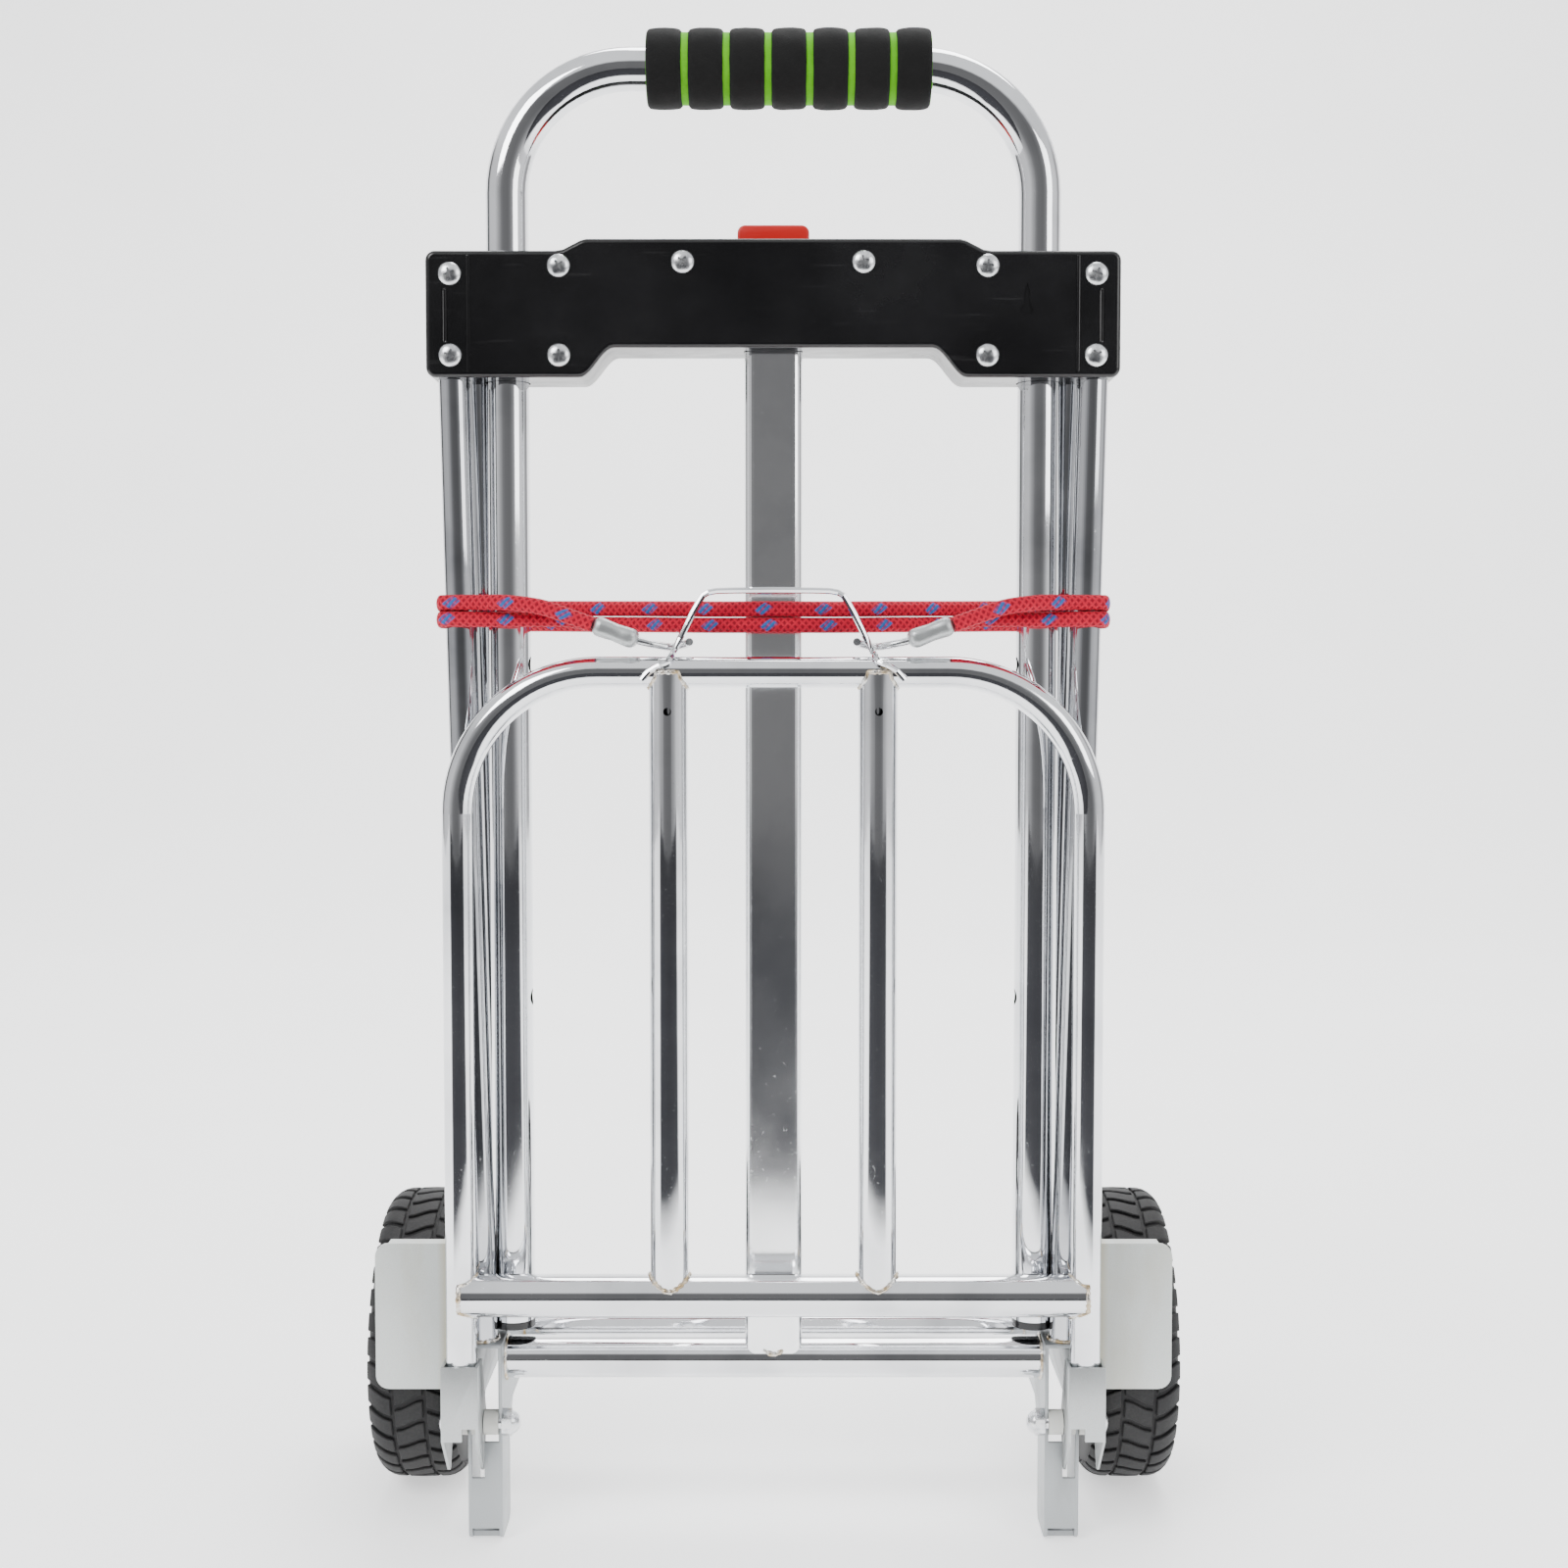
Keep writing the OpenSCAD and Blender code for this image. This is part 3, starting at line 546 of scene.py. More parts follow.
@dataclass(frozen=True)
class GlossPlastic:
    """Moulded plastic with an orange-peel skin, rubbed patches and fine scratches."""

    name: str
    colour: Colour
    rubbed: Colour
    gloss: float = 0.24

    def build(self) -> bpy.types.Material:
        """Builds the material."""
        g = Graph(self.name)
        g.set(IOR=1.5)
        clouds = g.noise(18.0, 5.0)
        scratches = g.noise(420.0, 2.0, (0.06, 1.0, 1.0))
        marks = g.level(scratches, 0.0, 1.0, 0.66, 0.74)
        base = g.ramp(clouds, (0.3, self.colour), (0.75, self.rubbed))
        scraped = tuple(c + 0.03 for c in self.rubbed)
        g.feed("Base Color", g.mix(g.maths("MULTIPLY", marks, 0.25), base, scraped))
        g.feed("Roughness", g.level(clouds, self.gloss, self.gloss + 0.20, 0.3, 0.8))
        g.bump(g.noise(260.0, 2.0), 0.10, 0.0004)
        g.bump(g.noise(32.0, 2.0), 0.30, 0.0030)
        return g.material


@dataclass(frozen=True)
class Foam:
    """Closed-cell foam with pores and a soft sheen."""

    name: str
    colour: Colour
    worn: Colour

    def build(self) -> bpy.types.Material:
        """Builds the material."""
        g = Graph(self.name)
        g.set(Sheen_Weight=0.02, Sheen_Roughness=0.6, Specular_IOR_Level=0.22)
        cloud = g.noise(60.0, 4.0)
        g.feed("Base Color", g.ramp(cloud, (0.3, self.colour), (0.8, self.worn)))
        g.feed("Roughness", g.level(cloud, 0.72, 0.95))
        cells = g.node("TexVoronoi", {"Vector": g.place(), "Scale": 1400.0}).outputs["Distance"]
        g.bump(cells, 0.35, 0.0003)
        g.bump(g.noise(120.0, 3.0), 0.25, 0.0008)
        return g.material


@dataclass(frozen=True)
class Zinc:
    """Zinc-plated steel, a little mottled."""

    name: str = "zinc"
    dark: Colour = (0.45, 0.46, 0.48)
    light: Colour = (0.78, 0.79, 0.80)

    def build(self) -> bpy.types.Material:
        """Builds the material."""
        g = Graph(self.name)
        g.set(Metallic=1.0)
        mottle = g.noise(220.0, 4.0)
        g.feed("Base Color", g.ramp(mottle, (0.3, self.dark), (0.6, self.light)))
        g.feed("Roughness", g.level(mottle, 0.16, 0.34))
        g.bump(g.noise(900.0, 2.0), 0.12, 0.0002)
        return g.material


@dataclass(frozen=True)
class SilverPaint:
    """Silver or off-white paint on sheet steel, with flake, drips of stain and rubbed spots."""

    name: str
    colour: Colour
    stain: Colour
    metal: float = 0.35
    stain_from: float = 0.58
    edge: Colour = (0.48, 0.44, 0.30)
    edge_at: float = 0.0

    def build(self) -> bpy.types.Material:
        """Builds the material."""
        g = Graph(self.name)
        g.set(Metallic=self.metal)
        flake = g.noise(2600.0, 1.0)
        runs = g.noise(34.0, 5.0, (1.0, 1.0, 0.35))
        base = g.ramp(flake, (0.3, tuple(c * 0.88 for c in self.colour)), (0.7, self.colour))
        base = g.mix(g.level(runs, 0.0, 0.75, self.stain_from, 0.85), base, self.stain)
        if self.edge_at:
            where = g.node("SeparateXYZ", {"Vector": g.place()})
            out = g.maths("ADD", g.maths("ABSOLUTE", where.outputs["X"]), g.maths("MULTIPLY", runs, 0.006))
            base = g.mix(g.level(out, 0.85, 0.0, self.edge_at, self.edge_at + 0.005), base, self.edge)
        g.feed("Base Color", base)
        g.feed("Roughness", g.level(runs, 0.30, 0.52))
        g.bump(g.noise(320.0, 3.0), 0.12, 0.0004)
        return g.material


@dataclass(frozen=True)
class TyreRubber:
    """Moulded rubber, greyed by dust on its high spots."""

    name: str = "tyre_rubber"
    colour: Colour = (0.007, 0.007, 0.008)
    dust: Colour = (0.038, 0.037, 0.036)

    def build(self) -> bpy.types.Material:
        """Builds the material."""
        g = Graph(self.name)
        g.set(Specular_IOR_Level=0.4)
        cloud = g.noise(26.0, 6.0)
        grain = g.noise(800.0, 2.0)
        worn = g.maths("MULTIPLY", cloud, g.level(grain, 0.6, 1.2))
        g.feed("Base Color", g.ramp(worn, (0.3, self.colour), (0.85, self.dust)))
        g.feed("Roughness", g.level(cloud, 0.52, 0.85))
        g.bump(grain, 0.3, 0.0003)
        return g.material


@dataclass(frozen=True)
class Braid:
    """Braided textile sleeve: red yarns with blue flecks and painted shade between the yarns, laid by the
    "wrap" attribute.
    """

    name: str = "braided_cord"
    yarn: Colour = (0.60, 0.006, 0.035)
    # dark red painted in the low parts of the weave, between the yarns: painted shade
    shade: Colour = (0.26, 0.002, 0.015)
    fleck: Colour = (0.03, 0.13, 0.42)
    round_count: float = 6.0
    pitch: float = 0.0036
    fleck_pitch: float = 0.030

    def build(self) -> bpy.types.Material:
        """Builds the material."""
        g = Graph(self.name)
        g.set(Sheen_Weight=0.08, Sheen_Roughness=0.4, Roughness=0.75, Specular_IOR_Level=0.2)
        wrap = g.node("Attribute", attribute_name="wrap")
        split = g.node("SeparateXYZ", {"Vector": wrap.outputs["Vector"]})
        angle = g.maths("ARCTAN2", split.outputs["Y"], split.outputs["X"])
        turn = g.maths("MULTIPLY", angle, self.round_count)
        run = g.maths("MULTIPLY", split.outputs["Z"], math.tau / self.pitch)
        one = g.maths("SINE", g.maths("ADD", turn, run))
        two = g.maths("SINE", g.maths("SUBTRACT", turn, run))
        weave = g.level(g.maths("MAXIMUM", one, two), 0.0, 1.0, -0.4, 1.0)
        # the yarn colour darkens to the shade colour where the weave is low, between the yarns: painted shade
        base = g.ramp(weave, (0.05, self.shade), (0.6, self.yarn))
        swirl = g.maths("ADD", angle, g.maths("MULTIPLY", split.outputs["Z"], math.tau / self.fleck_pitch))
        twin = g.maths("SUBTRACT", g.maths("MULTIPLY", angle, 1.0),
                       g.maths("MULTIPLY", split.outputs["Z"], math.tau / self.fleck_pitch))
        spot = g.maths("MULTIPLY", g.level(g.maths("SINE", swirl), 0.0, 1.0, 0.62, 0.78),
                       g.level(g.maths("SINE", twin), 0.0, 1.0, 0.30, 0.50))
        strands = g.level(one, 0.35, 1.0, -0.6, 0.2)
        g.feed("Base Color", g.mix(g.maths("MULTIPLY", spot, strands), base, self.fleck))
        g.bump(weave, 0.9, 0.0005)
        g.bump(g.noise(1800.0, 2.0), 0.3, 0.0002)
        return g.material


def finish(kind: type, *sizes: object, **named: object) -> Any:
    """A palette's field that builds a finish when the palette is made.

    Args:
        kind: The finish's class.
        sizes: Its values, in order.
        named: Its values, by name.

    Returns:
        The field, which holds the material once built.
    """
    return field(default_factory=lambda: kind(*sizes, **named).build())


@dataclass(frozen=True)
class Palette:
    """The finishes of all the pieces."""

    chrome: bpy.types.Material = finish(Chrome)
    chrome_across: bpy.types.Material = finish(Chrome, "chrome_across", along=(0.05, 1.0, 1.0))
    # darker copy of the chrome for the uprights and rear braces behind the front tubes: painted shade
    chrome_painted_shade: bpy.types.Material = finish(Chrome, "chrome_painted_shade", (0.26, 0.27, 0.29),
                                               (0.50, 0.51, 0.53))
    # brighter copy of the chrome for the centre post: painted light
    chrome_post_painted_light: bpy.types.Material = finish(Chrome, "chrome_post_painted_light", (0.80, 0.81, 0.83), (0.97, 0.98, 0.99),
                                             polish=0.12)
    weld: bpy.types.Material = finish(Weld)
    black: bpy.types.Material = finish(GlossPlastic, "black_plastic", (0.0035, 0.0035, 0.004),
                                       (0.008, 0.008, 0.009), 0.14)
    red: bpy.types.Material = finish(GlossPlastic, "red_plastic", (0.60, 0.002, 0.001),
                                     (0.66, 0.006, 0.002), 0.3)
    nylon: bpy.types.Material = finish(GlossPlastic, "nylon", (0.60, 0.60, 0.56), (0.72, 0.72, 0.68), 0.4)
    foam: bpy.types.Material = finish(Foam, "black_foam", (0.004, 0.004, 0.004), (0.010, 0.010, 0.010))
    green: bpy.types.Material = finish(Foam, "green_foam", (0.10, 0.46, 0.004), (0.16, 0.60, 0.01))
    zinc: bpy.types.Material = finish(Zinc)
    bracket: bpy.types.Material = finish(SilverPaint, "silver_paint", (0.52, 0.54, 0.54),
                                         (0.36, 0.37, 0.36), 0.85)
    foot: bpy.types.Material = finish(SilverPaint, "foot_paint", (0.40, 0.42, 0.43), (0.25, 0.26, 0.26), 0.8)
    fender: bpy.types.Material = finish(SilverPaint, "fender_paint", (0.66, 0.69, 0.67), (0.52, 0.50, 0.40),
                                        0.15, 0.52, edge_at=0.1755)
    rubber: bpy.types.Material = finish(TyreRubber)
    rim: bpy.types.Material = finish(GlossPlastic, "rim_plastic", (0.02, 0.02, 0.022),
                                     (0.045, 0.045, 0.048), 0.4)
    cord: bpy.types.Material = finish(Braid)


# ---------- shapes shared by the sub-assemblies ----------


def outline_block(name: str, outline: list[tuple[float, float]], y0: float, y1: float) -> bpy.types.Object:
    """Makes a block from an outline seen from the front, extruded in edit mode.

    Args:
        name: Name of the object.
        outline: Points in x and z, in metres.
        y0: Front of the block.
        y1: Back of the block.

    Returns:
        The new object.
    """
    deselect()
    bpy.ops.mesh.primitive_circle_add(vertices=len(outline), fill_type="NGON")
    made = bpy.context.object
    made.name = name
    for vertex, (x, z) in zip(made.data.vertices, outline):
        vertex.co = (x, y0, z)
    in_edit(made, lambda: bpy.ops.mesh.extrude_region_move(TRANSFORM_OT_translate={"value": (0, y1 - y0, 0)}))
    in_edit(made, lambda: bpy.ops.mesh.normals_make_consistent(inside=False))
    return made


def lathe(name: str, section: list[tuple[float, float]], y: float, z: float, steps: int) -> bpy.types.Object:
    """Spins a closed section about a line along X.

    Args:
        name: Name of the object.
        section: Points of the section: x, and distance from the line, in metres.
        y: Where the line is.
        z: Where the line is.
        steps: Steps round the line.

    Returns:
        The new object.
    """
    deselect()
    bpy.ops.mesh.primitive_circle_add(vertices=len(section), fill_type="NOTHING")
    made = bpy.context.object
    made.name = name
    for vertex, (x, r) in zip(made.data.vertices, section):
        vertex.co = (x, y, z + r)

    def turn() -> None:
        """Spins the section round once and closes it."""
        bpy.ops.mesh.spin(steps=steps, angle=math.tau, center=(0, y, z), axis=(1, 0, 0))
        bpy.ops.mesh.select_all(action="SELECT")
        bpy.ops.mesh.remove_doubles(threshold=0.00002)
        bpy.ops.mesh.normals_make_consistent(inside=False)

    in_edit(made, turn)
    return made


def wire(name: str, line: list[Vector], radius: float, sides: int = 12, closed: bool = False,
         lumps: Callable[[int], float] = lambda i: 1.0) -> bpy.types.Object:
    """Makes a round wire along a line as a bevelled curve, turned into a mesh with a UV map along it.

    Args:
        name: Name of the object.
        line: Points along its centre, in metres.
        radius: Its radius.
        sides: Sides round it.
        closed: Whether it is a ring.
        lumps: How thick it is at a point, as a share of its radius.

    Returns:
        The new mesh object.
    """
    curve = bpy.data.curves.new(name, "CURVE")
    curve.dimensions = "3D"
    curve.bevel_depth = radius
    curve.bevel_resolution = max(0, sides // 4 - 1)
    curve.use_fill_caps = not closed
    spline = curve.splines.new("POLY")
    spline.points.add(len(line) - 1)
    for i, (point, p) in enumerate(zip(spline.points, line)):
        point.co = (*p, 1.0)
        point.radius = lumps(i)
    spline.use_cyclic_u = closed
    made = bpy.data.objects.new(name, curve)
    bpy.context.scene.collection.objects.link(made)
    pick(made)
    bpy.ops.object.convert(target="MESH")
    made = bpy.context.object
    smooth(made, 60)
    return made


def even(line: list[Vector], step: float) -> list[Vector]:
    """Spaces points evenly along a line.

    Args:
        line: The line's points.
        step: About how far apart the new points are.

    Returns:
        The new points, with the line's own ends.
    """
    runs = np.concatenate([[0.0], np.cumsum([(b - a).length for a, b in zip(line, line[1:])])])
    at = np.linspace(0.0, runs[-1], max(2, round(runs[-1] / step)) + 1)
    xyz = np.array([list(p) for p in line])
    return [Vector([np.interp(s, runs, xyz[:, k]) for k in range(3)]) for s in at]


def arc(x: float, z: float, r: float, start: float, end: float, steps: int) -> list[tuple[float, float]]:
    """Points on an arc, with the angles in degrees."""
    return [(x + r * math.cos(math.radians(start + (end - start) * k / steps)),
             z + r * math.sin(math.radians(start + (end - start) * k / steps))) for k in range(steps + 1)]


# ---------- sub-assemblies ----------


@dataclass
class Crossbar:
    """Two-part plastic crossbar with ridges, grooves and a hole for everything that passes through it."""

    paint: Palette
    half: float = 177 * MM
    low: float = 605 * MM
    high: float = 669 * MM
    middle: float = 675 * MM
    arch: float = 15 * MM
    front: float = -82.4 * MM
    split: float = -62.4 * MM
    back: float = -42.4 * MM
    leg_y: float = -58.4 * MM
    leg_x: float = 138 * MM
    wall: float = 2.5 * MM
    ridge_x: float = 155 * MM
    slot_x: float = 167 * MM
    drop_x: float = 129 * MM
    drop_z: float = 640 * MM
    drop_r: float = 3.4 * MM
    leg_hole: float = 11.7 * MM
    hole_foot: float = 590 * MM
    upright: tuple = ((163.5 * MM, -69.9 * MM), (165.5 * MM, -69.9 * MM, 663 * MM), 8.1 * MM)
    brace: tuple = ((154.73 * MM, -49.4 * MM), (155 * MM, -52.2 * MM, 625 * MM), 6.1 * MM)
    post: tuple = ((15.1 * MM, 10.1 * MM), -60.4 * MM, 590 * MM, 644 * MM)
    button_hole: tuple = ((19.2 * MM, 8.6 * MM), -58.4 * MM, 660 * MM, 690 * MM)
    screw_spots: tuple = ((164.3 * MM, 657 * MM), (164.3 * MM, 616 * MM), (109 * MM, 661 * MM),
                          (109 * MM, 616 * MM), (46 * MM, 663 * MM))

    def outline(self) -> list[tuple[float, float]]:
        """The crossbar's outline from the front."""
        r = 5 * MM
        s_out, s_in = self.half - 78 * MM, self.half - 96 * MM
        steps = 10
        sweep = [(s_out + (s_in - s_out) * t / steps,
                  self.low + self.arch * (1 - math.cos(math.pi * t / steps)) / 2) for t in range(steps + 1)]
        right = ([(self.half - 82 * MM, self.middle), (self.half - 79 * MM, self.middle - 0.8 * MM),
                  (self.half - 70 * MM, self.high + 0.6 * MM), (self.half - 66 * MM, self.high)]
                 + arc(self.half - r, self.high - r, r, 90, 0, 6)
                 + arc(self.half - r, self.low + r, r, 0, -90, 6) + sweep)
        return right + [(-x, z) for x, z in reversed(right)]

    def shell(self, name: str, face: float) -> bpy.types.Object:
        """Models one half: a block, its outer edge rounded, hollowed from the split.

        Args:
            name: Name of the piece.
            face: Its outer face in y; the front half's is in front of the split.

        Returns:
            The hollow half.
        """
        made = outline_block(name, self.outline(), face, self.split)
        out = math.copysign(1.0, face - self.split)
        select_faces(made, lambda c, n: abs(c.y - face) < 1e-5 and n.y * out > 0.9)
        in_face_edit(lambda: bpy.ops.mesh.bevel(offset=2.6 * MM, segments=4, affect="EDGES"))
        select_faces(made, lambda c, n: abs(c.y - self.split) < 1e-5 and n.y * out < -0.9)

        def hollow() -> None:
            """Insets the open face by the wall and pushes it in."""
            bpy.ops.mesh.inset(thickness=self.wall)
            bpy.ops.mesh.extrude_region_move(
                TRANSFORM_OT_translate={"value": (0, (abs(face - self.split) - self.wall) * out, 0)})

        in_face_edit(hollow)
        return made

    def passages(self, piece: bpy.types.Object) -> None:
        """Cuts the holes for the legs, uprights, braces, post and button.

        Args:
            piece: The half that is cut.
        """
        over = 10 * MM
        cutters = []
        for side in Side:
            s = side.sign
            x = s * self.leg_x
            cutters.append(rod("c", (x, self.leg_y, self.low - over), (x, self.leg_y, self.high + over),
                               self.leg_hole))
            for (x0, y0), (x1, y1, top), hole in (self.upright, self.brace):
                cutters.append(rod("c", (s * x0, y0, self.hole_foot), (s * x1, y1, top), hole))
        for (half_x, half_y), y, foot, top in (self.post, self.button_hole):
            cutters.append(cube("c", (-half_x, y - half_y, foot), (half_x, y + half_y, top)))
        for cutter in cutters:
            cut(piece, cutter)

    def groove(self, x: float, low: float, high: float, wide: float, name: str) -> bpy.types.Object:
        """A cutter for a round-ended groove on the front face."""
        made = cube(name, (x - wide / 2, self.front - 0.01, low), (x + wide / 2, self.front + 1.1 * MM, high))
        bevel(made, wide * 0.48, 4)
        return made

    def front_shell(self) -> bpy.types.Object:
        """Models the front half, with a ridge and grooves at each end."""
        made = self.shell("crossbar_front", self.front)
        self.passages(made)
        for side in Side:
            cut(made, self.groove(side.sign * self.slot_x, self.low + 17 * MM, self.high - 19 * MM, 3 * MM,
                                  "slot"))
        z = self.drop_z - 0.5 * MM
        drop = rod("drop", (self.drop_x, self.front - 10 * MM, z), (self.drop_x, self.front + 0.9 * MM, z),
                   self.drop_r, 24)
        for vertex in drop.data.vertices:
            if vertex.co.z > self.drop_z:
                vertex.co.z += (vertex.co.z - self.drop_z) * 3.2
                vertex.co.x = self.drop_x + (vertex.co.x - self.drop_x) * 0.55
        cut(made, drop)
        bevel(made, 0.35 * MM, 1, 50)
        ridges = []
        for side in Side:
            x = side.sign * self.ridge_x
            ridge = cube("ridge", (x - 0.9 * MM, self.front - 0.7 * MM, self.low + 2.5 * MM),
                         (x + 0.9 * MM, self.front + 1.2 * MM, self.high - 2.5 * MM))
            bevel(ridge, 0.6 * MM, 2)
            ridges.append(ridge)
        return join([made, *ridges], "crossbar_front")

    def rear_shell(self) -> bpy.types.Object:
        """Models the rear half."""
        made = self.shell("crossbar_rear", self.back)
        self.passages(made)
        bevel(made, 0.35 * MM, 1, 50)
        return made

    def button(self) -> bpy.types.Object:
        """Models the push button with rounded corners and a soft top edge."""
        half, corner = 18.5 * MM, 4 * MM
        foot, top = 665.5 * MM, 685 * MM
        outline = ([(-half, foot), (half, foot)] + arc(half - corner, top - corner, corner, 0, 90, 6)
                   + arc(corner - half, top - corner, corner, 90, 180, 6))
        made = outline_block("push_button", outline, self.leg_y - 8 * MM, self.leg_y + 8 * MM)
        bevel(made, 1.2 * MM, 3, 60)
        return made

    def screw(self) -> bpy.types.Object:
        """Models one pan-head screw at the origin, facing the front."""
        head = lathe("screw", [(0.0, 0.0001), (2.8 * MM, 0.0001), (2.6 * MM, 2.4 * MM), (2.0 * MM, 4.3 * MM),
                               (1.1 * MM, 5.6 * MM), (0.4 * MM, 6.0 * MM), (0.0, 6.0 * MM)], 0, 0, 28)
        for size in ((0.5, 2.9), (2.9, 0.5)):
            y, z = (c * MM for c in size)
            cut(head, cube("recess", (1.6 * MM, -y, -z), (4 * MM, y, z)))

        def turn(angle: float) -> None:
            """Turns the head about Z by an angle in radians."""
            in_edit(head, lambda: bpy.ops.transform.rotate(value=angle, orient_axis="Z",
                                                           center_override=(0, 0, 0)))

        turn(math.pi / 2)
        if sum(v.co.y for v in head.data.vertices) > 0:
            turn(math.pi)
        return head

    def screws(self) -> bpy.types.Object:
        """Models one screw and copies it to all ten places."""
        first = self.screw()
        copies = []
        for side in Side:
            for i, (x, z) in enumerate(self.screw_spots):
                made = first.copy()
                made.data = first.data.copy()
                bpy.context.scene.collection.objects.link(made)
                made.rotation_euler = (0, math.radians(37 * i + 20 * side.sign), 0)
                made.location = (side.sign * x, self.front, z)
                copies.append(settle(made))
        bpy.data.objects.remove(first)
        made = join(copies, "screw_heads")
        smooth(made, 40)
        return made

    def build(self) -> None:
        """Builds and dresses the crossbar."""
        for piece, node in ((self.front_shell(), "crossbar_front_shell"),
                            (self.rear_shell(), "crossbar_rear_shell")):
            smooth(piece, 40)
            even_normals(piece)
            dress(piece, self.paint.black, "frame", [node])
        button = self.button()
        smooth(button, 40)
        dress(button, self.paint.red, "button", ["release_button"])
        dress(self.screws(), self.paint.zinc, "frame", ["crossbar_screws"])


@dataclass
class Grip:
    """Foam grip of seven bulging rings over a green sleeve."""

    paint: Palette
    centre: float = 8 * MM
    length: float = 146 * MM
    y: float = -58.4 * MM
    z: float = 766 * MM
    outer: float = 20.4 * MM
    inner: float = 18.0 * MM
    groove: float = 3.3 * MM
    count: int = 7

    def ring(self, index: int) -> bpy.types.Object:
        """Models one ring: a bulged section spun round, its skin a little uneven.

        Args:
            index: Which ring, from the left.

        Returns:
            The ring.
        """
        wide = (self.length - (self.count - 1) * self.groove) / self.count
        x0 = self.centre - self.length / 2 + index * (wide + self.groove)
        steps = 20
        skin = []
        for k in range(steps + 1):
            t = k / steps
            lift = (1 - abs(2 * t - 1) ** 6) ** 0.5
            skin.append((x0 + wide * t, self.outer - 1.3 * MM * (1 - lift) - 0.5 * MM * (2 * t - 1) ** 2))
        section = [(x0, self.inner), *skin, (x0 + wide, self.inner)]
        made = lathe(f"grip_ring_{index}", section, self.y, self.z, 64)
        clouds = bpy.data.textures.new(f"grip_{index}", "CLOUDS")
        clouds.noise_scale = 0.012
        m = made.modifiers.new("uneven", "DISPLACE")
        m.texture = clouds
        m.strength = 0.7 * MM
        m.mid_level = 0.75
        m.texture_coords = "LOCAL"
        apply_modifiers(made)
        smooth(made, 60)
        return made

    def build(self) -> None:
        """Builds and dresses the grip."""
        rings = join([self.ring(i) for i in range(self.count)], "grip_rings")
        dress(rings, self.paint.foam, "handle", ["foam_grip"])
        dress(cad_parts["grip_core"], self.paint.green)


@dataclass
class Wheel:
    """Wheel with a block-tread tyre."""

    paint: Palette
    side: Side
    inside: float = 172.5 * MM
    wide: float = 46 * MM
    y: float = 20.6 * MM
    z: float = 80 * MM
    radius: float = 80 * MM
    shoulder: float = 11 * MM
    rim: float = 50 * MM
    tread: float = 1.9 * MM
    columns: int = 36

    def section(self) -> list[tuple[float, float]]:
        """The tyre's section below the tread blocks, with narrow strips for the breaks between blocks."""
        half, top = self.wide / 2, self.radius - self.tread
        r = self.shoulder
        mid = self.inside + half
        left = [(mid - half + 4 * MM, self.rim), (mid - half + 0.4 * MM, self.rim + 5 * MM)]
        left += [(mid + x, z) for x, z in arc(-half + r, top - r, r - 0.4 * MM, 180, 96, 6)]
        flat = [-9.6, -7.6, -3.9, -0.4]
        left += [(mid + x * MM, top - 0.4 * MM + (10 - abs(x)) * 0.03 * MM) for x in flat]
        return left + [(2 * mid - x, z) for x, z in reversed(left)]

    def tyre(self) -> bpy.types.Object:
        """Models the tyre: a spun section whose tread faces are extruded into wavy blocks."""
        mid = self.inside + self.wide / 2
        steps = self.columns * 4
        made = lathe("tyre", self.section(), self.y, self.z, steps)
        turn = math.tau / self.columns
        for vertex in made.data.vertices:
            dy, dz = vertex.co.y - self.y, vertex.co.z - self.z
            if math.hypot(dy, dz) > self.radius - self.tread - self.shoulder * 0.9:
                wave = 0.22 * turn * math.sin((vertex.co.x - mid) / self.wide * math.tau * 1.5)
                c, s = math.cos(wave), math.sin(wave)
                vertex.co.y = self.y + dy * c - dz * s
                vertex.co.z = self.z + dy * s + dz * c

        def block(c: Vector, n: Vector) -> bool:
            """Whether a face belongs to a tread block."""
            away = math.hypot(c.y - self.y, c.z - self.z)
            off = abs(c.x - mid)
            wave = 0.22 * turn * math.sin((c.x - mid) / self.wide * math.tau * 1.5)
            angle = (math.atan2(c.z - self.z, c.y - self.y) - wave) % turn / turn
            row = 0 if off < 8.2 * MM else 1
            shift = 0.5 if row else 0.0
            gap = (angle + shift) % 1.0 < 0.25
            break_line = 7.4 * MM < off < 9.8 * MM
            return away > self.radius - self.tread - 5.2 * MM and not gap and not break_line

        select_faces(made, block)

        def raise_blocks() -> None:
            """Extrudes the blocks and draws their tops in."""
            bpy.ops.mesh.extrude_region_shrink_fatten(TRANSFORM_OT_shrink_fatten={"value": self.tread * 0.75})
            bpy.ops.mesh.inset(thickness=0.5 * MM, depth=0.45 * MM)

        in_face_edit(raise_blocks)
        smooth(made, 38)
        return made

    def build(self) -> None:
        """Builds and dresses the wheel."""
        name = self.side.value
        made = self.tyre()
        if self.side is Side.LEFT:
            made.scale.x = -1
            settle(made)
            in_edit(made, lambda: bpy.ops.mesh.normals_make_consistent(inside=False))
        made.name = f"tread_{name}"
        dress(made, self.paint.rubber, f"wheel_{name}", [f"tyre_{name}"])
        dress(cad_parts[f"wheel_rim_{name}"], self.paint.rim)
        dress(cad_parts[f"wheel_bearings_{name}"], self.paint.zinc)


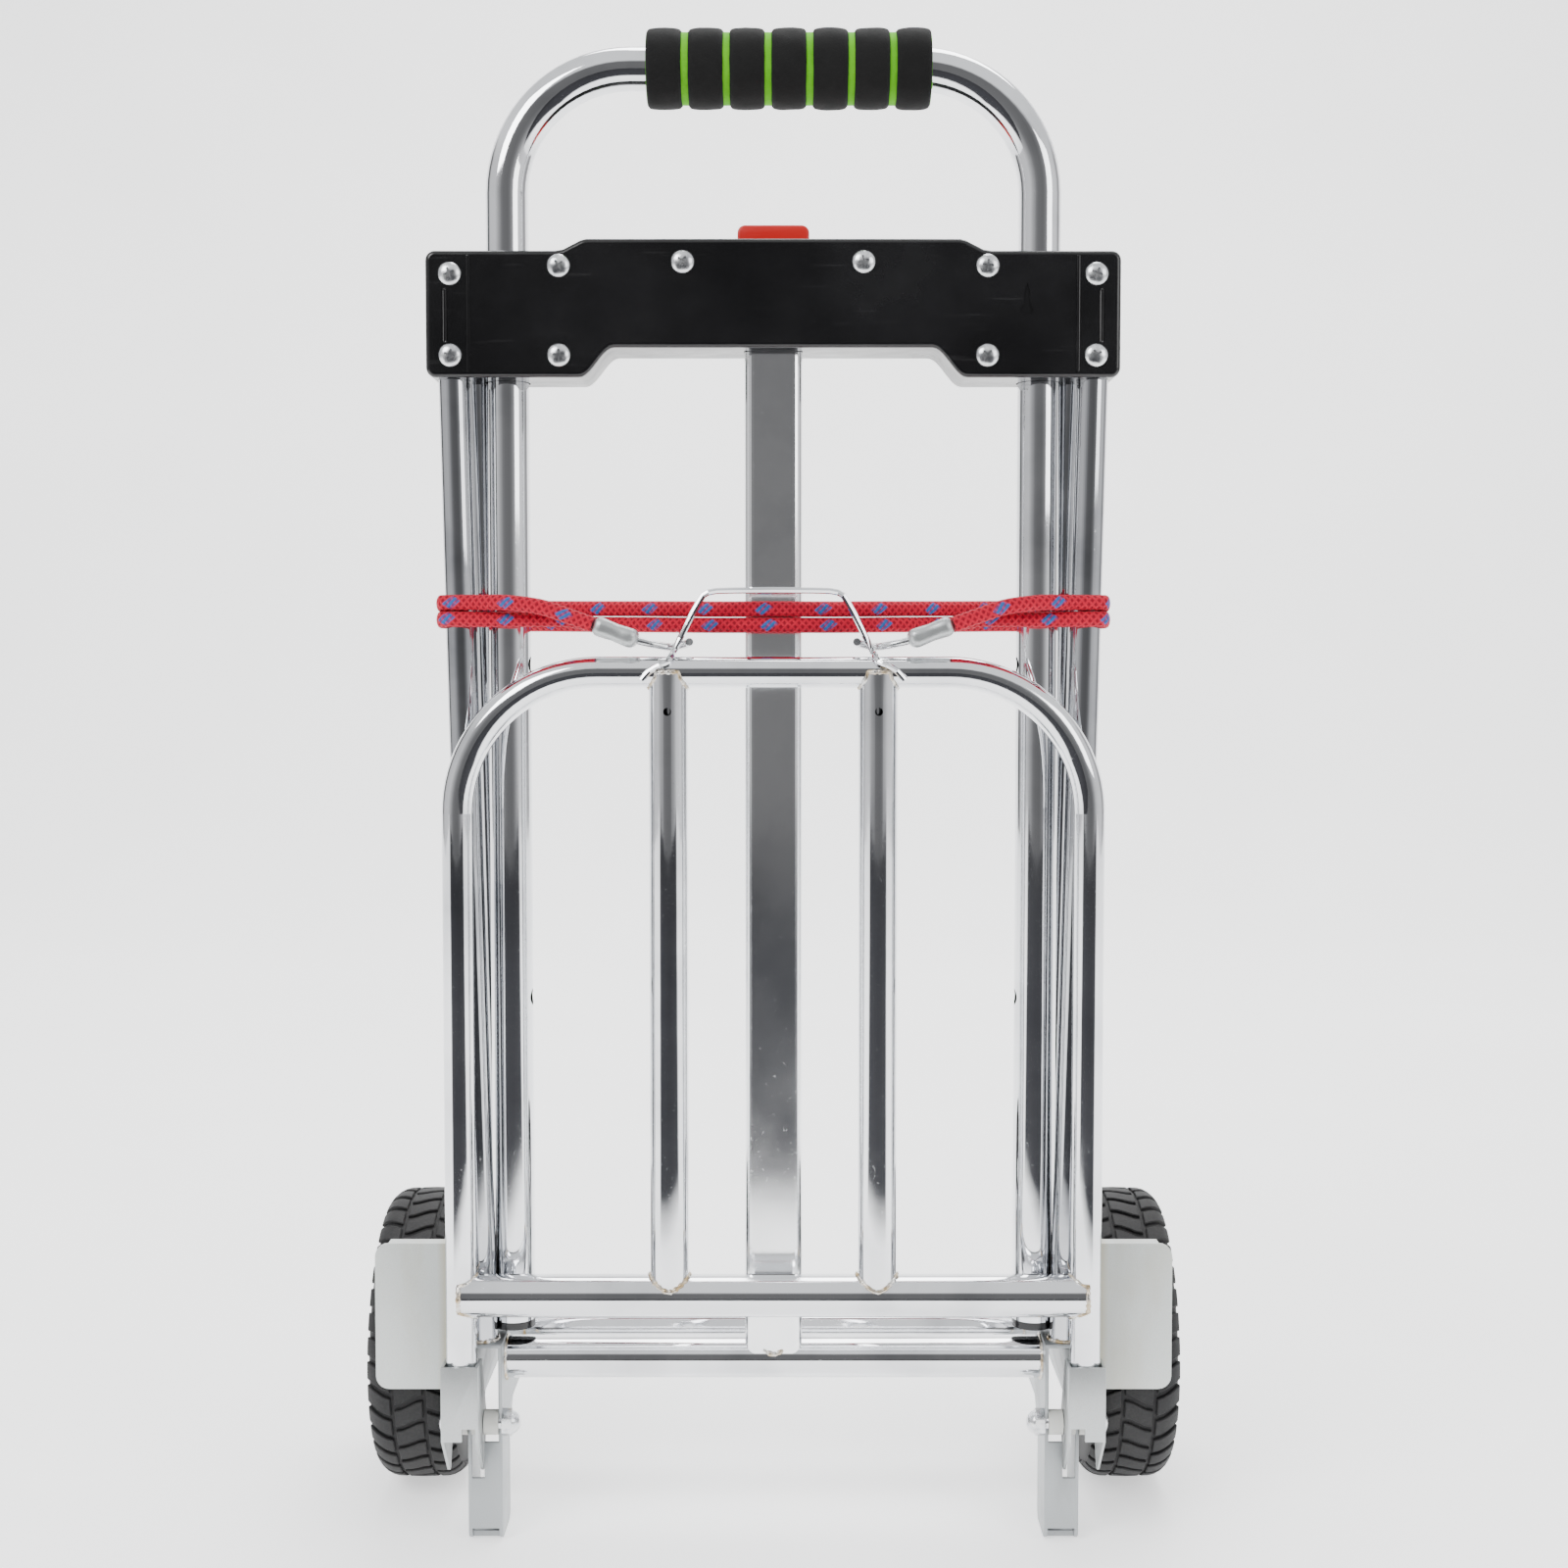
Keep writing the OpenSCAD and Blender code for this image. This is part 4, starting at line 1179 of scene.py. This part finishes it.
@dataclass
class Bungee:
    """Two strands of braided cord, joined at each end by a crimped sleeve with a hook."""

    paint: Palette
    diameter: float = 8 * MM
    sleeve: Vector = field(default_factory=lambda: Vector((-80 * MM, -91.5 * MM, 475 * MM)))
    tilt: float = math.radians(20)
    pressed_from: float = 170.2 * MM
    pressed_to: float = 0.42
    upper: tuple = ((-91.5, -95.6, 479.1), (-104, -95.5, 483.5), (-118, -95, 488), (-135, -91, 490.2),
                    (-150, -86, 490.5), (-163, -83.5, 490.5), (-171.5, -80, 490.5),
                    (-174.8, -72, 490), (-173, -60, 490), (-166.5, -44, 489.5),
                    (-162, -33.8, 489.5), (-154, -30, 489.5), (-142, -31.5, 489), (-124, -39, 489),
                    (-95, -51, 488.5), (-62, -64, 488), (-30, -74, 487.5), (0, -77.5, 487.5))
    lower: tuple = ((-91.5, -87.3, 479.1), (-104, -86.5, 481.8), (-118, -85.5, 482), (-135, -84.9, 481.9),
                    (-150, -84.5, 482), (-163, -83.5, 482.2), (-171.5, -80, 482.2),
                    (-174.8, -72, 481.7), (-173, -60, 481.7), (-166.5, -44, 481.2),
                    (-162, -33.8, 481.2), (-154, -30, 481.2), (-142, -31.5, 480.7),
                    (-124, -39, 480.7), (-95, -51, 480.2), (-62, -64, 479.7), (-30, -74, 479.2),
                    (0, -77.5, 479.2))
    hook: tuple = ((-68.7, -91.5, 470.9), (-62, -90.7, 469.3), (-56, -87.5, 468.2), (-52, -84.8, 467.8),
                   (-47, -84.3, 468.8), (-43.2, -86.4, 469.8), (-42.6, -90.4, 470.4))

    def line(self, half: tuple) -> list[Vector]:
        """The whole centre line of a strand from its left half."""
        left = [tuple(c * MM for c in p) for p in half]
        return even(spread(left + [(-x, y, z) for x, y, z in reversed(left[:-1])], 6), 2.2 * MM)

    def wrap(self, piece: bpy.types.Object, line: list[Vector]) -> None:
        """Stores where each vertex is round and along the strand, for the braid.

        Args:
            piece: The strand.
            line: Its centre line.
        """
        xyz = np.array([list(p) for p in line])
        ahead = np.gradient(xyz, axis=0)
        ahead /= np.linalg.norm(ahead, axis=1)[:, None]
        runs = np.concatenate([[0.0], np.cumsum(np.linalg.norm(np.diff(xyz, axis=0), axis=1))])
        rise = np.array([0.0, 0.0, 1.0]) - ahead * ahead[:, 2:3]
        rise /= np.linalg.norm(rise, axis=1)[:, None]
        out = np.cross(ahead, rise)
        attribute = piece.data.attributes.new("wrap", "FLOAT_VECTOR", "POINT")
        for vertex, value in zip(piece.data.vertices, attribute.data):
            off = np.array(vertex.co) - xyz
            k = int(np.argmin((off ** 2).sum(axis=1)))
            angle = math.atan2(off[k] @ out[k], off[k] @ rise[k])
            value.vector = (math.cos(angle), math.sin(angle), runs[k] + off[k] @ ahead[k])

    def press(self, piece: bpy.types.Object) -> None:
        """Flattens a strand where it is pulled round the outside of an upright.

        Args:
            piece: The strand.
        """
        for vertex in piece.data.vertices:
            past = abs(vertex.co.x) - self.pressed_from
            if past > 0:
                vertex.co.x = math.copysign(self.pressed_from + past * self.pressed_to, vertex.co.x)

    def strand(self, name: str, half: tuple) -> None:
        """Args:
            name: Name of the piece.
            half: The strand's left half.
        """
        line = self.line(half)
        made = wire(name, line, self.diameter / 2, 20)
        self.wrap(made, line)
        self.press(made)
        dress(made, self.paint.cord, "frame", [f"bungee_{name}"])

    def crimp(self, side: Side) -> None:
        """Builds the crimped sleeve of one side."""
        deselect()
        bpy.ops.mesh.primitive_cube_add(size=1.0)
        made = bpy.context.object
        made.scale = (24 * MM, 17 * MM, 10 * MM)
        settle(made)
        bevel(made, 4.2 * MM, 5, 20)
        for x in (-8, -4, 0, 4, 8):
            in_edit(made, lambda: bpy.ops.mesh.bisect(plane_co=(x * MM, 0, 0), plane_no=(1, 0, 0)))
        for vertex in made.data.vertices:
            pinch = max(0.0, 1 - abs(vertex.co.x) / (7 * MM))
            vertex.co.y *= 1 - 0.14 * pinch
            vertex.co.z *= 1 - 0.10 * pinch
        made.rotation_euler = (0, self.tilt, 0)
        made.location = self.sleeve
        settle(made)
        if side is Side.RIGHT:
            made.scale.x = -1
            settle(made)
            in_edit(made, lambda: bpy.ops.mesh.normals_make_consistent(inside=False))
        smooth(made, 50)
        made.name = f"crimp_{side.value}"
        dress(made, self.paint.bracket, "frame", [f"bungee_sleeve_{side.value}"])

    def hooks(self, side: Side) -> None:
        """Builds the wire hook of one side."""
        s = -side.sign
        line = even(spread([(s * x * MM, y * MM, z * MM) for x, y, z in self.hook], 8), 0.8 * MM)
        made = wire(f"hook_{side.value}", line, 2 * MM, 16)
        dress(made, self.paint.zinc, "frame", [f"bungee_hook_{side.value}"])

    def build(self) -> None:
        """Builds the cord."""
        self.strand("strand_upper", self.upper)
        self.strand("strand_lower", self.lower)
        for side in Side:
            self.crimp(side)
            self.hooks(side)


@dataclass
class Brackets:
    """Folded sheet brackets, fenders, bolts and nuts, with softened edges."""

    paint: Palette

    def soften(self, node: str, name: str, width: float) -> bpy.types.Object:
        """Copies a CAD node and rounds its edges.

        Args:
            node: Name of the node.
            name: Name of the piece.
            width: Width of the rounding.

        Returns:
            The new piece.
        """
        made = copy_node(node, name)
        bevel(made, width, 2, 30)
        smooth(made, 34)
        return made

    def build(self) -> None:
        """Builds and dresses the brackets of both sides."""
        p = self.paint
        kinds = [("foot_bracket", p.foot, "silver_paint", "frame", 0.5),
                 ("fender", p.fender, "silver_paint", "frame", 0.4),
                 ("hinge_bracket", p.bracket, "silver_paint", "toe_plate", 0.7),
                 ("pivot_bolt", p.zinc, "zinc_steel", "frame", 0.2),
                 ("pivot_nut", p.zinc, "zinc_steel", "frame", 0.4),
                 ("axle_cap", p.zinc, "zinc_steel", "frame", 0.2)]
        for kind, material, slot, body, width in kinds:
            for side in Side:
                made = self.soften(f"{kind}_{side.value}", f"soft_{kind}_{side.value}", width * MM)
                dress(made, material, body, [f"{kind}_{side.value}"])


@dataclass
class Welds:
    """Weld beads where the tubes meet."""

    paint: Palette
    bead: float = 1.3 * MM
    toe_y: float = -89.4 * MM
    hoop_z: float = 455 * MM
    hoop_r: float = 7.9 * MM
    rail_x: float = 161.5 * MM
    slat_x: float = 53.5 * MM
    cross_z: float = 133 * MM
    cross_r: float = 11 * MM
    post_y: float = -60.4 * MM
    lower_z: float = 91.5 * MM
    axle_y: float = 20.6 * MM
    axle_z: float = 80 * MM
    foot_x: float = 142 * MM
    upright_foot: tuple[float, float, float] = (153.5 * MM, -69.9 * MM, 104.2 * MM)
    brace_foot: tuple[float, float, float] = (151 * MM, -11.4 * MM, 104.3 * MM)
    rng: np.random.Generator = field(default_factory=lambda: np.random.default_rng(7))

    def saddle(self, x: float, y: float, z: float, r: float, onto: float, up: float,
               along_x: bool = False) -> bpy.types.Object:
        """A bead round a tube of radius r that ends on a tube of radius onto.

        Args:
            x: X of the joint's centre.
            y: Y of the joint's centre.
            z: Z of the joint's centre.
            r: Radius of the tube that ends here.
            onto: Radius of the tube that it ends on, or 0 for a flat plate.
            up: Which way the ending tube leaves, 1 or -1.
            along_x: Whether the ending tube runs along X instead of Z.

        Returns:
            The bead.
        """
        points = []
        count = 64
        for k in range(count):
            a = math.tau * k / count
            side_off = r * math.sin(a)
            lift = math.sqrt(max(0.0, onto * onto - side_off * side_off)) if onto else 0.0
            if along_x:
                points.append(Vector((x + up * lift, y + side_off, z + r * math.cos(a))))
            else:
                points.append(Vector((x + r * math.cos(a), y + side_off, z + up * lift)))
        lumps = [1 + 0.175 * math.sin(k * 2.1) + self.rng.uniform(-0.18, 0.18) for k in range(count)]
        return wire("bead", points, self.bead, 8, True, lambda i: lumps[i])

    def build(self) -> None:
        """Builds the beads of the frame and of the toe plate."""
        toe, base = [], []
        for side in Side:
            s = side.sign
            toe.append(self.saddle(s * self.slat_x, self.toe_y, self.hoop_z, 9.6 * MM, self.hoop_r, -1))
            toe.append(self.saddle(s * self.slat_x, self.toe_y, self.cross_z, 10 * MM, self.cross_r, 1))
            toe.append(self.saddle(s * self.rail_x, self.toe_y, self.cross_z, 10.6 * MM, self.hoop_r, -s,
                                   True))
            for y, z in ((self.post_y, self.lower_z), (self.axle_y, self.axle_z)):
                base.append(self.saddle(s * self.foot_x, y, z, self.cross_r, 0, -s, True))
            for (x, y, z), r in ((self.upright_foot, 8 * MM), (self.brace_foot, 6 * MM)):
                base.append(self.saddle(s * x, y, z, r, 0, 1))
        base.append(self.saddle(0, self.post_y, self.lower_z, 10.2 * MM, self.cross_r, 1))
        dress(join(toe, "toe_plate_welds"), self.paint.weld, "toe_plate")
        dress(join(base, "frame_welds"), self.paint.weld, "frame")


@dataclass
class Tubes:
    """The chrome tubes and the small parts that keep the CAD's own shape."""

    paint: Palette

    def build(self) -> None:
        """Dresses the CAD nodes."""
        p = self.paint
        upright = ["handle_tube", "toe_hoop", "toe_slat_left", "toe_slat_right"]
        # the uprights and rear braces behind the front tubes take the darker chrome copy: painted shade
        behind = ["upright_left", "upright_right", "rear_brace_left", "rear_brace_right"]
        across = ["lower_cross_tube", "axle_tube", "axle_rod", "toe_cross_tube", "cord_loop"]
        zinc = ["button_spring", "latch_spring_left", "latch_spring_right", "latch_bolt_left",
                "latch_bolt_right", "wheel_spacer_left", "wheel_spacer_right"]
        nylon = ["leg_guide_left", "leg_guide_right", "pivot_spacers_left", "pivot_spacers_right"]
        plain = ["leg_plug_left", "leg_plug_right"]
        for names, material, slot in ((upright, p.chrome, "chrome_tube"),
                                      # the centre post takes the brighter chrome copy: painted light
                                      (["center_post"], p.chrome_post_painted_light, "chrome_tube"),
                                      (behind, p.chrome_painted_shade, "chrome_tube"),
                                      (across, p.chrome_across, "chrome_tube"),
                                      (zinc, p.zinc, "zinc_steel"), (nylon, p.nylon, "nylon"),
                                      (plain, p.black, "black_plastic")):
            for name in names:
                dress(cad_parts[name], material)


# ---------- stage ----------


@dataclass
class Studio:
    """Camera, pale floor and soft light."""

    eye: tuple[float, float, float] = (0.0055, -1.139, 0.453)
    pitch: float = 87.0
    lens: float = 47.25
    bands: tuple = ((-180, 0.9), (-142, 0.9), (-124, 0.10), (-112, 0.12), (-98, 0.60), (-60, 0.62),
                    (-42, 0.34), (-24, 0.16), (-12, 0.13), (10, 0.12), (22, 0.15), (34, 0.28), (50, 0.62),
                    (72, 0.78), (96, 0.72), (106, 0.34), (114, 0.28), (126, 0.85), (180, 0.9))
    ceiling: Colour = (0.80, 0.81, 0.82)
    dark_floor: Colour = (0.03, 0.03, 0.034)

    def camera(self) -> None:
        """Places the camera."""
        deselect()
        bpy.ops.object.camera_add(location=self.eye, rotation=(math.radians(self.pitch), 0, 0))
        made = bpy.context.object
        made.data.lens = self.lens
        made.data.sensor_width = 36.0
        made.data.clip_start = 0.02
        bpy.context.scene.camera = made

    def floor(self) -> None:
        """Models the floor, curved up into a backdrop."""
        deselect()
        bpy.ops.mesh.primitive_plane_add(size=1.0, location=(0, -1.0, -0.0005))
        made = bpy.context.object
        made.name = "floor"
        made.scale = (9.0, 6.0, 1.0)
        settle(made)

        def curve_up() -> None:
            """Extrudes the far edge back and up in steps."""
            steps = 12
            reach = 1.0
            for k in range(steps):
                a0, a1 = (math.pi / 2 * j / steps for j in (k, k + 1))
                move = (0, reach * (math.sin(a1) - math.sin(a0)), reach * (math.cos(a0) - math.cos(a1)))
                bpy.ops.mesh.extrude_edges_move(TRANSFORM_OT_translate={"value": move})
            bpy.ops.mesh.extrude_edges_move(TRANSFORM_OT_translate={"value": (0, 0, 3.0)})

        pick(made)
        bpy.ops.object.mode_set(mode="EDIT")
        bpy.ops.mesh.select_mode(type="EDGE")
        bpy.ops.mesh.select_all(action="DESELECT")
        bpy.ops.object.mode_set(mode="OBJECT")
        for edge in made.data.edges:
            edge.select = all(made.data.vertices[v].co.y > 1.9 for v in edge.vertices)
        in_face_edit(curve_up)
        smooth(made, 60)
        g = Graph("floor")
        g.set(Roughness=0.8, Specular_IOR_Level=0.1)
        paper = g.ramp(g.noise(3.0, 3.0), (0.3, (0.93, 0.93, 0.93)), (0.7, (0.96, 0.96, 0.96)))
        where = g.node("SeparateXYZ", {"Vector": g.place()})
        away = g.node("VectorMath", {"Vector": g.place()}, operation="LENGTH").outputs["Value"]
        aside = g.maths("DIVIDE", g.maths("ABSOLUTE", where.outputs["X"]), where.outputs["Y"])
        ahead = g.level(where.outputs["Y"], 1.0, 0.0, -0.4, -0.3)
        front = g.maths("MULTIPLY", g.level(aside, 1.0, 0.0, -1.0, -1.3), ahead)
        near = g.maths("MULTIPLY", g.level(away, 0.0, 1.0, 0.68, 0.84), front)
        g.feed("Base Color", g.mix(near, paper, self.dark_floor))
        g.feed("Emission Color", g.mix(near, paper, (0.0, 0.0, 0.0)))
        g.set(Emission_Strength=0.95)
        made.data.materials.append(g.material)

    def sky(self) -> None:
        """Surrounds the cart with light and dark bands for the chrome to reflect."""
        world = bpy.data.worlds.new("studio")
        bpy.context.scene.world = world
        world.use_nodes = True
        tree = world.node_tree
        tree.nodes.clear()
        g = NodeSet(tree)
        where = g.node("SeparateXYZ", {"Vector": g.node("TexCoord").outputs["Generated"]})
        angle = g.maths("ARCTAN2", where.outputs["X"], g.maths("MULTIPLY", where.outputs["Y"], -1.0))
        around = g.ramp(g.maths("MULTIPLY_ADD", angle, 0.5 / math.pi, 0.5),
                        *(((a + 180) / 360, (v, v, v * 1.02)) for a, v in self.bands))
        above = g.level(where.outputs["Z"], 0.0, 1.0, math.sin(math.radians(24)), math.sin(math.radians(32)))
        sky = g.mix(above, around, self.ceiling)
        glow = g.node("Background", {"Color": sky, "Strength": 1.45})
        out = g.node("OutputWorld")
        tree.links.new(glow.outputs[0], out.inputs[0])

    def lamps(self) -> None:
        """Places the softboxes."""
        for name, place, aim, size, power in (("key", (-1.6, -1.9, 2.2), (0, 0, 0.35), 1.4, 55.0),
                                              ("fill", (1.9, -1.6, 1.3), (0, 0, 0.35), 1.2, 18.0),
                                              ("back", (0.3, 0.9, 2.6), (0, 1.4, 0.4), 1.6, 60.0)):
            deselect()
            bpy.ops.object.light_add(type="AREA", location=place)
            made = bpy.context.object
            made.name = name
            made.data.size = size
            made.data.energy = power
            made.rotation_mode = "QUATERNION"
            made.rotation_quaternion = (Vector(aim) - Vector(place)).to_track_quat("-Z", "Y")

    def build(self) -> None:
        """Builds the stage."""
        self.camera()
        self.floor()
        self.sky()
        self.lamps()


def main() -> None:
    """Builds the stage and every sub-assembly."""
    logging.basicConfig(level=logging.INFO, format="%(message)s")
    Studio().build()
    paint = Palette()
    Bungee(paint).build()
    Tubes(paint).build()
    Crossbar(paint).build()
    Grip(paint).build()
    for side in Side:
        Wheel(paint, side).build()
    Brackets(paint).build()
    Welds(paint).build()


if __name__ == "__main__":
    main()
